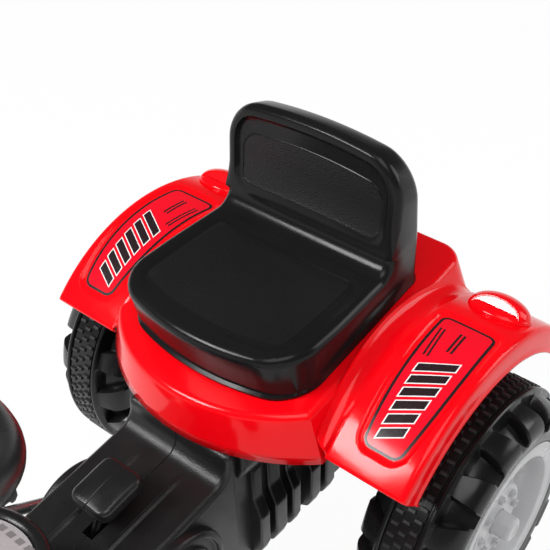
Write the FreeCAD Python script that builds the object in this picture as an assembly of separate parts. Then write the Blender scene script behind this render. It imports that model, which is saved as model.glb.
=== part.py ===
import FreeCAD, Part
import math
import os

# Layout: +X is the driver's left, -Y is the front, +Z is up, the floor is Z = 0, sizes in mm
rear_axle_y = 300.0
front_axle_y = -305.0
rear_wheel_r = 138.0
front_wheel_r = 100.0
rear_wheel_x = 207.0
front_wheel_x = 166.0
rear_wheel_half = 50.0
front_wheel_half = 33.0
rear_end_y = 490.0
front_end_y = -490.0
axle_r = 6.0
fit_gap = 0.2
slide_gap = 0.4
overrun = 6.0
seam_x = 0.0

# Rear body shell: deck and both fenders in one moulding
shell_wall = 3.0
apron_z = 258.0
shell_top_z = 350.0
deck_z = 324.0
deck_rise_share = 0.10
apron_r = 188.0
apron_top_r = 180.0
shell_half = 131.0
shell_top_half = 100.0
shell_back = 138.0
shell_top_back = 116.0
shell_corner_r = 30.0
deck_edge_r = 5.0
fender_r = 190.0
fender_back = 4.0
fender_up = 3.0
fender_root_drop = 20.0
fender_root_x = 100.0
fender_ramp_x = 142.0
fender_x = 217.0
fender_edge_r = 14.0
skirt_drop = 23.0
fender_front_deg = 137.0
fender_rear_deg = 24.0
panel_front_deg = 127.0
panel_rear_deg = 84.0
panel_front_half = 20.0
panel_rear_half = 31.0
panel_front_x = 174.5
panel_rear_x = 170.0
panel_depth = 1.2
panel_corner_r = 8.0
slot_x = 30.0
slot_mid = -40.0
slot_r = 4.6
seat_travel = 55.0

# Tail lights on the fenders
light_deg = 67.0
light_x = 177.0
light_length = 62.0
light_width = 40.0
light_rise = 16.0
light_crown_r = 10.0

# Seat: one blow-moulded pan and backrest
seat_front = -168.0
seat_foot = -154.0
seat_back = 58.0
seat_front_half = 108.0
seat_back_half = 98.0
seat_front_shoulder = -146.0
seat_front_z = 360.0
pan_rear = 2.0
pan_rear_z = 370.0
back_front_top = 8.0
back_rear_top = 42.0
back_top_z = 486.0
back_shoulder_z = 474.0
pan_nose_r = 14.0
lap_r = 30.0
crown_r = 15.0
seat_corner_r = 32.0
back_corner_share = 0.5
nose_bulge_r = 150.0
crown_bulge_share = 3.5
seat_bolt_r = 4.0
seat_bolt_drop = 26.0
wing_r = 15.0
wing_boss_r = 8.0
wing_height = 10.0
wing_wall = 3.0
washer_height = 2.0

# Chassis: two black halves that meet on the centre plane
chassis_wall = 4.0
tunnel_half = 64.0
hip_half = 60.0
keel_z = 90.0
front_keel_z = 140.0
keel_step_y = -150.0
riser_y = 116.0
tunnel_rear_z = 232.0
tunnel_rise_share = 0.15
nose_top_z = 206.0
chassis_rear_y = 410.0
chassis_front_y = -430.0
hip_y = 144.0
riser_r = 10.0
tunnel_edge_r = 8.0
keel_r = 12.0
tail_r = 20.0
strip_half = 26.0
strip_height = 1.6
rack_x = 74.0
rack_z = 108.0
rack_height = 26.0
rack_first_y = 150.0
rack_pitch = 31.0
rack_rib = 16.0
rack_count = 4
crank_boss_r = 54.0
crank_boss_x = 72.0
ring_groove = 5.0
ring_depth = 2.0
ring_shares = (0.88, 0.62)
lever_slot_length = 34.0
lever_slot_width = 14.0

# Rear axle, sprockets and chain
rear_tube_r = 9.0
bush_r = 12.0
bush_flange_r = 17.0
bush_flange = 3.0
chain_pitch = 20.0
crank_teeth = 12
rear_teeth = 8
roller_r = 4.0
sprocket_half = 3.0
chain_half = 8.0
link_wall = 2.0
link_half_height = 6.0
tooth_depth = 2.5
chain_gap = 0.35
hub_half = 10.0

# Crank and pedals
crank_y = 44.0
crank_z = 163.0
crank_arm = 70.0
crank_deg = -20.0
crank_inner_x = 86.0
crank_outer_x = 102.0
crank_end_x = 176.0
pedal_inner_x = 110.0
pedal_outer_x = 168.0
pedal_length = 62.0
pedal_height = 22.0
pedal_slot = 7.0
pedal_slots = 4
pedal_slot_depth = 4.0
pedal_corner_r = 8.0
nut_r = 10.0
nut_height = 5.0

# Gear lever on the tunnel
lever_clear = 8.4
lever_bearing_deg = 47.0
lever_tilt_deg = 10.0
lever_plate = 9.0
lever_r = 5.0
knob_y = 33.0
knob_z = 246.0
knob_half_x = 21.0
knob_half_y = 24.0
knob_height = 20.0
knob_edge_r = 8.0
knob_corner_r = 9.0
lever_pin_r = 3.0
lever_pin_half = 20.0
lever_post = 5.0

# Steering
steer_y = -152.0
steer_z = 463.0
steer_tilt_deg = 23.5
steer_rim_r = 97.0
steer_tube_r = 13.0
steer_hub_r = 30.0
steer_hub_height = 16.0
steer_dish = 22.0
spoke_width = 26.0
spoke_height = 9.0
spoke_deg = (90.0, 210.0, 330.0)
cap_r = 24.0
cap_height = 5.0
cap_edge_r = 3.0
column_r = 7.0
steer_arm = 42.0
steer_pin_r = 5.0
steer_bottom_z = 130.0
steer_pin_drop = 20.0
boot_r = 22.0
boot_top_r = 15.0
boot_height = 18.0

# Front axle, knuckles and tie rod
kingpin_x = 105.0
kingpin_r = 6.0
beam_half_y = 13.0
beam_z = 88.0
beam_top_z = 112.0
eye_r = 14.0
post_inner_x = 34.0
post_outer_x = 58.0
lug_height = 8.0
lug_gap = 1.0
yoke_inner_x = 121.5
yoke_outer_x = 130.0
yoke_half_y = 13.0
arm_half = 8.0
tie_pin_r = 4.0
tie_height = 6.0
tie_gap = 1.0
tie_half_width = 10.0
tie_slot_length = 24.0
tie_slot_gap = 0.6
tie_hole_gap = 0.8
kingpin_head_r = 9.0
kingpin_head = 4.0

# Tyre section, as shares of the wheel's radius and half width
hub_share = 0.13
web_share = 0.63
bead_share = 0.667
side_share = 0.735
shoulder_share = 0.81
valley_share = 0.855
band_share = 0.975
ridge_share = 0.96
lug_root_share = 0.83
lug_tip_share = 0.885
lug_foot_share = 0.77
bead_x_share = 0.92
shoulder_x_share = 0.96
crown_x_share = 0.80
band_x_share = 0.30
ridge_x_share = 0.34
rib_x_share = 0.42
web_in_x_share = 0.16
web_out_x_share = 0.32
hub_x_share = 0.44
rear_lugs = 16
front_lugs = 14
lug_wide_share = 0.60
lug_narrow_share = 0.42
lug_twist_share = 0.42

# Rim disc, as shares of the wheel's radius and half width
rim_wall = 3.0
rim_lip_share = 0.66
rim_flat_share = 0.60
rim_dish_share = 0.53
rim_step_share = 0.27
rim_hub_share = 0.20
rim_lip_x_share = 0.97
rim_flat_x_share = 0.94
rim_dish_x_share = 0.50
rim_hub_x_share = 0.72
rim_ribs = 8
rim_rib_width = 6.0
rim_bolt_share = 0.235
rim_bolt_r = 3.6
rim_bolt_height = 3.0
wheel_cap_r = 13.0
wheel_cap_wall = 3.0
wheel_cap_x_share = 1.10
cap_round_r = 2.5

# Dashboard, hood and front
dash_rear_y = -46.0
dash_rear_z = 270.0
dash_lip_r = 10.0
dash_rear_half = 48.0
dash_widen_y = -140.0
hood_rear_y = -245.0
hood_half = 68.0
hood_nose_half = 67.4
hood_low_z = 196.0
hood_rear_z = 334.0
hood_nose_z = 312.0
hood_front_y = -466.0
hood_edge_r = 26.0
hood_wall = 3.0
dash_wall = 3.0
grille_front_y = -476.0
grille_half = 50.0
grille_z = 214.0
grille_top_z = 296.0
grille_bars = 5
grille_bar_share = 0.5
grille_depth = 4.0
grille_r = 8.0
lamp_x = 36.0
lamp_z = 276.0
lamp_r = 13.0
lamp_depth = 7.0
bumper_half = 70.0
bumper_z = 146.0
bumper_r = 16.0

# Hitch
hitch_half = 26.0
hitch_z = 150.0
hitch_height = 8.0
hitch_hole_r = 6.0
hitch_hole_y = 468.0
hitch_flange = 6.0
hitch_flange_height = 44.0

# Screws
screw_r = 5.0
screw_height = 3.0
side_screw_y = (380.0, 215.0, -20.0, -250.0, -400.0)
side_screw_z = 176.0
hood_screw_y = (-260.0, -420.0)
hood_screw_z = 222.0

OUT = "parts"
os.makedirs(OUT, exist_ok=True)
V = FreeCAD.Vector
X_AXIS = V(1, 0, 0)
Y_AXIS = V(0, 1, 0)
Z_AXIS = V(0, 0, 1)
HUB = V(0, rear_axle_y, rear_wheel_r)
ARCH = HUB + V(0, fender_back, fender_up)
fender_root_r = fender_r - fender_root_drop
skirt_r = fender_r - skirt_drop
light_top_r = fender_r + light_rise


def save(name, shape):
    # One piece, one file
    shape.exportStep(os.path.join(OUT, name + ".step"))


def box(x0, x1, y0, y1, z0, z1):
    return Part.makeBox(x1 - x0, y1 - y0, z1 - z0, V(x0, y0, z0))


def bar(start, end, radius):
    # Round bar between two points
    run = end - start
    return Part.makeCylinder(radius, run.Length, start, run)


def ring(start, end, radius, bore):
    # Tube between two points, with its bore cut past both ends
    run = end - start
    past = V(run).normalize() * overrun
    return bar(start, end, radius).cut(bar(start - past, end + past, bore))


def rounded(points, radii):
    # Closed wire through the points, with an arc of the given radius at each corner
    arcs = []
    count = len(points)
    for i, point in enumerate(points):
        back = (points[i - 1] - point).normalize()
        ahead = (points[(i + 1) % count] - point).normalize()
        half = back.getAngle(ahead) / 2
        reach = radii[i] / math.tan(half)
        middle = (back + ahead).normalize() * (radii[i] / math.sin(half) - radii[i])
        arcs.append((point + back * reach, point + middle, point + ahead * reach))
    edges = []
    for i, (start, middle, end) in enumerate(arcs):
        edges.append(Part.makeLine(arcs[i - 1][2], start))
        if radii[i]:
            edges.append(Part.Arc(start, middle, end).toShape())
    return Part.Wire(edges)


def prism(points, radii, run):
    # Solid with a rounded outline, drawn along the run
    return Part.Face(rounded(points, radii)).extrude(run)


def lathe(points, centre, start_deg=0, sweep_deg=360):
    # Section of (x, radius) points turned about the X axis through the centre
    section = [V(centre.x + x, centre.y + r, centre.z) for x, r in points]
    face = Part.Face(Part.makePolygon(section + section[:1]))
    face.rotate(centre, X_AXIS, start_deg)
    return face.revolve(centre, X_AXIS, sweep_deg)


def mirrored(shape):
    return shape.mirror(V(0, 0, 0), X_AXIS)


def fuse(shapes):
    return shapes[0].multiFuse(shapes[1:]).removeSplitter()


def round_edges(shape, radius, wanted):
    # Round the edges that the test picks
    return shape.makeFillet(radius, [edge for edge in shape.Edges if wanted(edge)])


def on_face(shape, normal):
    # Edges of the face that looks most along the normal
    return max(shape.Faces, key=lambda face: face.normalAt(0, 0).dot(normal) * face.Area).Edges


def deck_height(back):
    # Height of the deck at a distance behind the rear axle
    return deck_z + deck_rise_share * back


# Rear body shell
def pedestal(inset):
    # Drafted block under the seat, cut off at the deck plane
    wires = []
    for z, half, nose, back, corner in (
        (apron_z, shell_half, apron_r, shell_back, shell_corner_r),
        (shell_top_z, shell_top_half, apron_top_r, shell_top_back, shell_corner_r),
    ):
        half -= inset
        nose -= inset
        back -= inset
        corner -= inset
        front = -math.sqrt(nose ** 2 - half ** 2)
        turn = corner * (1 - math.sqrt(0.5))
        left = [(half, front), (half, back - corner), (half - turn, back - turn), (half - corner, back)]
        left = [V(x, rear_axle_y + y, z) for x, y in left]
        right = [V(-p.x, p.y, p.z) for p in left]
        wires.append(Part.Wire([
            Part.Arc(right[0], V(0, rear_axle_y - nose, z), left[0]).toShape(),
            Part.makeLine(left[0], left[1]),
            Part.Arc(left[1], left[2], left[3]).toShape(),
            Part.makeLine(left[3], right[3]),
            Part.Arc(right[3], right[2], right[1]).toShape(),
            Part.makeLine(right[1], right[0]),
        ]))
    block = Part.makeLoft(wires, True, True)
    ends = (-apron_r - overrun, shell_back + overrun)
    lid = [V(-shell_half, rear_axle_y + y, deck_height(y) - inset) for y in ends]
    lid += [V(-shell_half, rear_axle_y + y, shell_top_z + overrun) for y in reversed(ends)]
    return block.cut(prism(lid, [0] * len(lid), X_AXIS * (shell_half * 2)))


deck_normal = V(0, -deck_rise_share, 1).normalize()
body = pedestal(0)
body = body.makeFillet(deck_edge_r, on_face(body, deck_normal))
hollow = pedestal(shell_wall)
mouth = min(hollow.Faces, key=lambda face: face.CenterOfMass.z)
hollow = hollow.fuse(mouth.extrude(Z_AXIS * (skirt_r - apron_z)))

edge_in = fender_edge_r * (1 - math.sqrt(0.5))
bend = fender_edge_r - shell_wall
bend_in = bend * (1 - math.sqrt(0.5))
fender_section = [
    (fender_root_x, fender_root_r - shell_wall),
    (fender_root_x, fender_root_r),
    (fender_ramp_x, fender_r),
    (fender_x - fender_edge_r, fender_r),
    (fender_x - edge_in, fender_r - edge_in),
    (fender_x, fender_r - fender_edge_r),
    (fender_x, skirt_r),
    (fender_x - shell_wall, skirt_r),
    (fender_x - shell_wall, fender_r - fender_edge_r),
    (fender_x - shell_wall - bend_in, fender_r - shell_wall - bend_in),
    (fender_x - fender_edge_r, fender_r - shell_wall),
    (fender_ramp_x, fender_r - shell_wall),
]
fender_sweep = fender_front_deg - fender_rear_deg
fender = lathe(fender_section, ARCH, fender_rear_deg, fender_sweep)
fender = fender.cut(box(
    0, shell_half - shell_wall, rear_axle_y + shell_back - shell_wall, rear_end_y, 0, shell_top_z))


def outward(degrees):
    # Direction away from the wheel arch's centre, the angle counted up from the rear
    turn = math.radians(degrees)
    return Y_AXIS * math.cos(turn) + Z_AXIS * math.sin(turn)


panel_deg = (panel_front_deg + panel_rear_deg) / 2
panel_reach = fender_r * math.sin(math.radians(panel_front_deg - panel_deg))
radial = outward(panel_deg)
forward = X_AXIS.cross(radial)
panel_root = ARCH + radial * fender_root_r
corners = [
    panel_root + forward * panel_reach + X_AXIS * (panel_front_x - panel_front_half),
    panel_root + forward * panel_reach + X_AXIS * (panel_front_x + panel_front_half),
    panel_root - forward * panel_reach + X_AXIS * (panel_rear_x + panel_rear_half),
    panel_root - forward * panel_reach + X_AXIS * (panel_rear_x - panel_rear_half),
]
panel = prism(corners, [panel_corner_r] * len(corners), radial * (fender_r - fender_root_r + overrun))
floor = Part.makeCylinder(fender_r - panel_depth, fender_x, ARCH, X_AXIS)
fender = fender.cut(panel.cut(floor))

slots = []
for x in (-slot_x, slot_x):
    mid = rear_axle_y + slot_mid
    slots.append(box(x - slot_r, x + slot_r, mid - seat_travel, mid + seat_travel, apron_z, shell_top_z))
    for y in (mid - seat_travel, mid + seat_travel):
        slots.append(bar(V(x, y, apron_z), V(x, y, shell_top_z), slot_r))
shell = fuse([body, fender, mirrored(fender)]).cut(hollow).cut(fuse(slots))
save("rear_body_shell", shell)

# Tail lights
light_up = outward(light_deg)
light_along = X_AXIS.cross(light_up)
light_mid = ARCH + X_AXIS * light_x + light_up * fender_root_r
half_length = light_length / 2
half_width = light_width / 2
rim = [
    light_mid + X_AXIS * half_length + light_along * half_width,
    light_mid - X_AXIS * half_length + light_along * half_width,
    light_mid - X_AXIS * half_length - light_along * half_width,
    light_mid + X_AXIS * half_length - light_along * half_width,
]
light = prism(rim, [half_width - slide_gap] * len(rim), light_up * (light_top_r - fender_root_r))
light = light.makeFillet(light_crown_r, on_face(light, light_up))
light = light.cut(Part.makeCylinder(fender_r, fender_x + overrun, ARCH, X_AXIS))
save("tail_light_left", light)
save("tail_light_right", mirrored(light))

# Seat
seat_low = [(seat_back, deck_height(seat_back)), (seat_foot, deck_height(seat_foot))]
seat_side = [(y, z + slide_gap) for y, z in seat_low]
seat_side += [
    (seat_front, seat_front_z),
    (pan_rear, pan_rear_z),
    (back_front_top, back_top_z),
    (back_rear_top, back_top_z),
]
seat_radii = [0, 0, pan_nose_r, lap_r, crown_r, crown_r]
side = [V(-seat_front_half - overrun, rear_axle_y + y, z) for y, z in seat_side]
seat = prism(side, seat_radii, X_AXIS * (2 * (seat_front_half + overrun)))
plan = [
    V(seat_back_half, rear_axle_y + seat_back + overrun, apron_z),
    V(seat_front_half, rear_axle_y + seat_front_shoulder, apron_z),
    V(0, rear_axle_y + seat_front, apron_z),
    V(-seat_front_half, rear_axle_y + seat_front_shoulder, apron_z),
    V(-seat_back_half, rear_axle_y + seat_back + overrun, apron_z),
]
seat_plan = prism(plan, [0, seat_corner_r, nose_bulge_r, seat_corner_r, 0], Z_AXIS * back_top_z)
front = [
    V(seat_front_half, rear_axle_y + seat_front - overrun, apron_z),
    V(seat_back_half, rear_axle_y + seat_front - overrun, back_shoulder_z),
    V(0, rear_axle_y + seat_front - overrun, back_top_z),
    V(-seat_back_half, rear_axle_y + seat_front - overrun, back_shoulder_z),
    V(-seat_front_half, rear_axle_y + seat_front - overrun, apron_z),
]
seat_depth = seat_back - seat_front + 2 * overrun
shoulder_r = seat_back_half * back_corner_share
crown_radii = [0, shoulder_r, seat_back_half * crown_bulge_share, shoulder_r, 0]
seat_front_view = prism(front, crown_radii, Y_AXIS * seat_depth)
seat = seat.common(seat_plan).common(seat_front_view)

# Seat bolts run in the deck's slots and are held by wing nuts below
bolts = []
wings = []
for x in (-slot_x, slot_x):
    foot = V(x, rear_axle_y + slot_mid, deck_height(slot_mid)) + deck_normal * slide_gap
    under = foot - deck_normal * (shell_wall + 2 * slide_gap + washer_height)
    bolt_end = foot - deck_normal * seat_bolt_drop
    bolts.append(bar(bolt_end, foot + deck_normal * seat_bolt_drop / 2, seat_bolt_r))
    wing = Part.makeCone(wing_boss_r, wing_boss_r - wing_wall, wing_height, under, deck_normal * -1)
    wing = wing.fuse(box(
        x - wing_r, x + wing_r, under.y - wing_wall / 2, under.y + wing_wall / 2,
        under.z - wing_height, under.z - wing_height / 2,
    ))
    washer = bar(under, under + deck_normal * washer_height, wing_boss_r)
    wings.append(wing.fuse(washer).cut(bolts[-1]))
seat = seat.cut(fuse(bolts))
save("seat", seat)
save("seat_bolts", Part.makeCompound(bolts))
save("seat_wing_nuts", Part.makeCompound(wings))


# Chassis halves
def tunnel_z(y):
    return tunnel_rear_z + tunnel_rise_share * (y - riser_y)


def chassis_side(inset, open_top, rear, front):
    # Side outline from the rear end to the nose, or the room inside it
    top = open_top - shell_wall
    nose_y = riser_y - (tunnel_rear_z - nose_top_z) / tunnel_rise_share
    return [
        V(seam_x, rear, keel_z + inset),
        V(seam_x, rear, deck_height(rear - rear_axle_y) + top),
        V(seam_x, front + inset, deck_height(front - rear_axle_y) + top),
        V(seam_x, front + inset, apron_z - inset),
        V(seam_x, riser_y + inset, apron_z - inset),
        V(seam_x, riser_y + inset, tunnel_z(riser_y + inset) - inset),
        V(seam_x, nose_y, nose_top_z - inset),
        V(seam_x, chassis_front_y + inset, nose_top_z - inset),
        V(seam_x, chassis_front_y + inset, front_keel_z + inset),
        V(seam_x, keel_step_y, front_keel_z + inset),
        V(seam_x, keel_step_y + front_keel_z - keel_z, keel_z + inset),
    ]


chest_y = riser_y + shell_wall + overrun * 2
flat = [tail_r, 0, 0, 0, 0, riser_r, 0, 0, keel_r, 0, 0]
skin = prism(chassis_side(0, 0, chassis_rear_y, chest_y), flat, X_AXIS * tunnel_half)


def on_tunnel_edge(edge):
    # Long outer edge of the tunnel's top
    for v in edge.Vertexes:
        outer = abs(v.X - tunnel_half) < fit_gap and v.Y < riser_y + fit_gap
        if not outer or not nose_top_z - fit_gap < v.Z < apron_z - fit_gap:
            return False
    return edge.Length > tunnel_half


skin = round_edges(skin, tunnel_edge_r, on_tunnel_edge)
room = chassis_side(chassis_wall, overrun, chassis_rear_y - chassis_wall, chest_y)
hips = box(hip_half, tunnel_half + overrun, hip_y, chassis_rear_y + overrun, 0, back_top_z)
skin = skin.cut(hips)
crank_axis = V(0, crank_y, crank_z)
boss = bar(crank_axis + X_AXIS * hip_half, crank_axis + X_AXIS * crank_boss_x, crank_boss_r)
for share in ring_shares:
    start = crank_axis + X_AXIS * (crank_boss_x - ring_depth)
    groove = bar(start, start + X_AXIS * overrun, crank_boss_r * share)
    boss = boss.cut(groove.cut(bar(start, start + X_AXIS * overrun, crank_boss_r * share - ring_groove)))
ribs = []
for i in range(rack_count):
    y = rack_first_y + i * rack_pitch
    foot = [
        V(hip_half - chassis_wall / 2, y, rack_z),
        V(rack_x - chassis_wall, y, rack_z),
        V(rack_x, y, rack_z + rack_height / 2),
        V(rack_x, y, rack_z + rack_height),
        V(hip_half - chassis_wall / 2, y, rack_z + 2 * rack_height),
    ]
    ribs.append(prism(foot, [0] * len(foot), Y_AXIS * rack_rib))
strip = [
    V(seam_x, riser_y - riser_r, tunnel_z(riser_y - riser_r) + strip_height),
    V(seam_x, dash_rear_y, tunnel_z(dash_rear_y) + strip_height),
    V(seam_x, dash_rear_y, tunnel_z(dash_rear_y) - strip_height),
    V(seam_x, riser_y - riser_r, tunnel_z(riser_y - riser_r) - strip_height),
]
strip = prism(strip, [0] * len(strip), X_AXIS * strip_half)
half = fuse([skin, boss, strip] + ribs)
half = half.cut(prism(room, [0] * len(room), X_AXIS * (hip_half - chassis_wall)))
half = half.cut(bar(crank_axis, crank_axis + X_AXIS * tunnel_half * 2, bush_r))
half = half.cut(bar(HUB, HUB + X_AXIS * tunnel_half * 2, bush_r))



def pitch_radius(teeth):
    return chain_pitch / (2 * math.sin(math.pi / teeth))


lever_turn = math.radians(lever_bearing_deg)
lever_reach = pitch_radius(crank_teeth) + link_half_height + lever_clear
lever_pivot = crank_axis + V(0, -math.cos(lever_turn), math.sin(lever_turn)) * lever_reach
lever_y = lever_pivot.y
lever_pivot_z = lever_pivot.z
knob_at = V(0, knob_y, knob_z)
lever_run = knob_at - lever_pivot
slot_at = lever_pivot + lever_run * ((tunnel_z(lever_y) - lever_pivot_z) / lever_run.z)
half = half.cut(box(
    -overrun, lever_slot_width / 2, slot_at.y - lever_slot_length / 2, slot_at.y + lever_slot_length / 2,
    lever_pivot_z, knob_z,
))

steer_turn = math.radians(steer_tilt_deg)
steer_up = V(0, math.sin(steer_turn), math.cos(steer_turn))
steer_back = V(0, math.cos(steer_turn), -math.sin(steer_turn))
steer_mid = V(0, steer_y, steer_z)
steer_low = steer_mid - steer_up * ((steer_z - steer_bottom_z) / steer_up.z)
half = half.cut(bar(steer_low, steer_mid, bush_r))
save("chassis_left_half", half)
save("chassis_right_half", mirrored(half))

# Bushes in the chassis walls for the rear axle and the crank
for name, place in (("rear_axle_bush", HUB), ("crank_bush", crank_axis)):
    wall_x = hip_half if place == HUB else crank_boss_x
    wall = place + X_AXIS * wall_x
    bush = ring(place + X_AXIS * (hip_half - chassis_wall), wall, bush_r, axle_r + fit_gap)
    lip = ring(wall, wall + X_AXIS * bush_flange, bush_flange_r, axle_r + fit_gap)
    bush = bush.fuse(lip).removeSplitter()
    save(name + "_left", bush)
    save(name + "_right", mirrored(bush))


# Wheels
def tyre(radius, half, lugs):
    # Blow-moulded tyre and web in one piece, with a smooth band between two rows of slanted lugs
    bore = axle_r + fit_gap
    core = lathe([
        (-half * shoulder_x_share, bore),
        (half * hub_x_share, bore),
        (half * hub_x_share, radius * hub_share),
        (half * web_out_x_share, radius * hub_share),
        (half * web_out_x_share, radius * web_share),
        (half * bead_x_share, radius * bead_share),
        (half, radius * side_share),
        (half * shoulder_x_share, radius * shoulder_share),
        (half * crown_x_share, radius * valley_share),
        (half * rib_x_share, radius * valley_share),
        (half * rib_x_share, radius * ridge_share),
        (half * ridge_x_share, radius),
        (half * band_x_share, radius),
        (half * band_x_share, radius * band_share),
        (-half * band_x_share, radius * band_share),
        (-half * band_x_share, radius),
        (-half * ridge_x_share, radius),
        (-half * rib_x_share, radius * ridge_share),
        (-half * rib_x_share, radius * valley_share),
        (-half * crown_x_share, radius * valley_share),
        (-half * shoulder_x_share, radius * shoulder_share),
        (-half, radius * side_share),
        (-half * bead_x_share, radius * bead_share),
        (half * web_in_x_share, radius * web_share),
        (half * web_in_x_share, radius * hub_share),
        (-half * shoulder_x_share, radius * hub_share),
    ], V(0, 0, 0))
    pitch = 2 * math.pi / lugs

    def face(x, low, high, start, width):
        corners = [(low, start), (low, start + width), (high, start + width), (high, start)]
        points = [V(x, r * math.cos(a), r * math.sin(a)) for r, a in corners]
        return Part.makePolygon(points + points[:1])

    lug = Part.makeLoft([
        face(half * rib_x_share, radius * lug_root_share, radius * ridge_share, 0, pitch * lug_wide_share),
        face(half * bead_x_share, radius * lug_foot_share, radius * lug_tip_share,
             pitch * lug_twist_share, pitch * lug_narrow_share),
    ], True, True)
    row = []
    for i in range(lugs):
        turned = lug.copy()
        turned.rotate(V(0, 0, 0), X_AXIS, math.degrees(pitch * i))
        row.append(turned)
        other = mirrored(lug)
        other.rotate(V(0, 0, 0), X_AXIS, math.degrees(pitch * (i + 1 / 2)))
        row.append(other)
    return fuse([core] + row)


def rim_disc(radius, half):
    # Dished disc that snaps into the tyre, with ribs and a ring of bolt heads
    seat_x = half * web_out_x_share
    bore = radius * hub_share + slide_gap
    disc = lathe([
        (seat_x, bore),
        (seat_x, radius * rim_dish_share),
        (half * rim_flat_x_share - rim_wall, radius * rim_flat_share),
        (half * rim_flat_x_share - rim_wall, radius * rim_lip_share - rim_wall),
        (half * bead_x_share - rim_wall, radius * rim_lip_share - rim_wall),
        (half * bead_x_share - rim_wall, radius * rim_lip_share - slide_gap),
        (half * rim_lip_x_share, radius * rim_lip_share - slide_gap),
        (half * rim_flat_x_share, radius * rim_flat_share),
        (half * rim_dish_x_share, radius * rim_dish_share),
        (half * rim_dish_x_share, radius * rim_step_share),
        (half * rim_hub_x_share, radius * rim_hub_share),
        (half * rim_hub_x_share, bore),
    ], V(0, 0, 0))
    extras = []
    for i in range(rim_ribs):
        turn = 360 * i / rim_ribs
        rib = Part.makePolygon([
            V(half * rim_dish_x_share - rim_wall / 2, radius * rim_step_share, -rim_rib_width / 2),
            V(half * rim_dish_x_share + rim_wall, radius * rim_step_share, -rim_rib_width / 2),
            V(half * rim_dish_x_share + rim_wall, radius * rim_dish_share, -rim_rib_width / 2),
            V(half * rim_dish_x_share - rim_wall / 2, radius * rim_dish_share, -rim_rib_width / 2),
            V(half * rim_dish_x_share - rim_wall / 2, radius * rim_step_share, -rim_rib_width / 2),
        ])
        rib = Part.Face(rib).extrude(Z_AXIS * rim_rib_width)
        bolt_x = half * (rim_dish_x_share + rim_hub_x_share) / 2
        bolt_at = V(seat_x, radius * rim_bolt_share, 0)
        bolt = bar(bolt_at, V(bolt_x + rim_bolt_height, bolt_at.y, 0), rim_bolt_r)
        bolt.rotate(V(0, 0, 0), X_AXIS, 180 / rim_ribs)
        for extra in (rib, bolt):
            extra.rotate(V(0, 0, 0), X_AXIS, turn)
            extras.append(extra)
    return fuse([disc] + extras)


def wheel_cap(half):
    # Cap over the end of the axle
    start = V(half * hub_x_share, 0, 0)
    end = V(half * wheel_cap_x_share, 0, 0)
    cap = bar(start, end, wheel_cap_r)
    cap = cap.makeFillet(cap_round_r, on_face(cap, X_AXIS))
    return cap.cut(bar(start - X_AXIS * overrun, end - X_AXIS * wheel_cap_wall, axle_r + fit_gap))


def wheel_pieces(prefix, radius, half, lugs, place):
    pieces = {
        prefix + "_tyre": tyre(radius, half, lugs),
        prefix + "_rim": rim_disc(radius, half),
        prefix + "_cap": wheel_cap(half),
    }
    for name, shape in pieces.items():
        shape.translate(place)
        save(name + "_left", shape)
        save(name + "_right", mirrored(shape))


wheel_pieces("rear", rear_wheel_r, rear_wheel_half, rear_lugs, HUB + X_AXIS * rear_wheel_x)
front_hub = V(front_wheel_x, front_axle_y, front_wheel_r)
wheel_pieces("front", front_wheel_r, front_wheel_half, front_lugs, front_hub)

# Rear axle with its spacer tubes
axle_end = rear_wheel_x + rear_wheel_half * wheel_cap_x_share - 2 * wheel_cap_wall
axle = bar(HUB - X_AXIS * axle_end, HUB + X_AXIS * axle_end, axle_r)
save("rear_axle", axle)
spacer = ring(
    HUB + X_AXIS * (hip_half + bush_flange + slide_gap),
    HUB + X_AXIS * (rear_wheel_x - rear_wheel_half * shoulder_x_share - slide_gap),
    rear_tube_r, axle_r,
)
save("axle_spacer_left", spacer)
save("axle_spacer_right", mirrored(spacer))

# Sprockets and chain inside the chassis
chain_line = HUB - crank_axis
chain_dir = V(chain_line).normalize()
chain_side = X_AXIS.cross(chain_dir)


def pitch_points(centre, teeth, first):
    # Roller places on a sprocket, the first along the given direction
    points = []
    across = X_AXIS.cross(first)
    for i in range(teeth):
        turn = 2 * math.pi * i / teeth
        points.append(centre + (first * math.cos(turn) + across * math.sin(turn)) * pitch_radius(teeth))
    return points


def sprocket(centre, teeth, first):
    # The chain stands still here: its plates lie on the hub, and the tooth tips pass just under its rollers
    tip_r = pitch_radius(teeth) - roller_r - chain_gap
    notch_r = roller_r + chain_gap + tooth_depth
    hub_r = pitch_radius(teeth) - link_half_height - chain_gap
    wheel = bar(centre - X_AXIS * sprocket_half, centre + X_AXIS * sprocket_half, tip_r)
    for point in pitch_points(centre, teeth, first):
        wheel = wheel.cut(bar(point - X_AXIS * overrun, point + X_AXIS * overrun, notch_r))
    wheel = wheel.fuse(bar(centre - X_AXIS * hub_half, centre + X_AXIS * hub_half, hub_r))
    return wheel.cut(bar(centre - X_AXIS * crank_end_x, centre + X_AXIS * crank_end_x, axle_r))


def chain_loop(offset):
    # Outline of the chain at a distance outside its pitch line
    big = pitch_radius(crank_teeth) + offset
    small = pitch_radius(rear_teeth) + offset
    lean = math.acos((big - small) / chain_line.Length)
    over = chain_dir * math.cos(lean) + chain_side * math.sin(lean)
    under = chain_dir * math.cos(lean) - chain_side * math.sin(lean)
    return Part.Wire([
        Part.makeLine(crank_axis + over * big, HUB + over * small),
        Part.Arc(HUB + over * small, HUB + chain_dir * small, HUB + under * small).toShape(),
        Part.makeLine(HUB + under * small, crank_axis + under * big),
        Part.Arc(crank_axis + under * big, crank_axis - chain_dir * big, crank_axis + over * big).toShape(),
    ])


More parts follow.
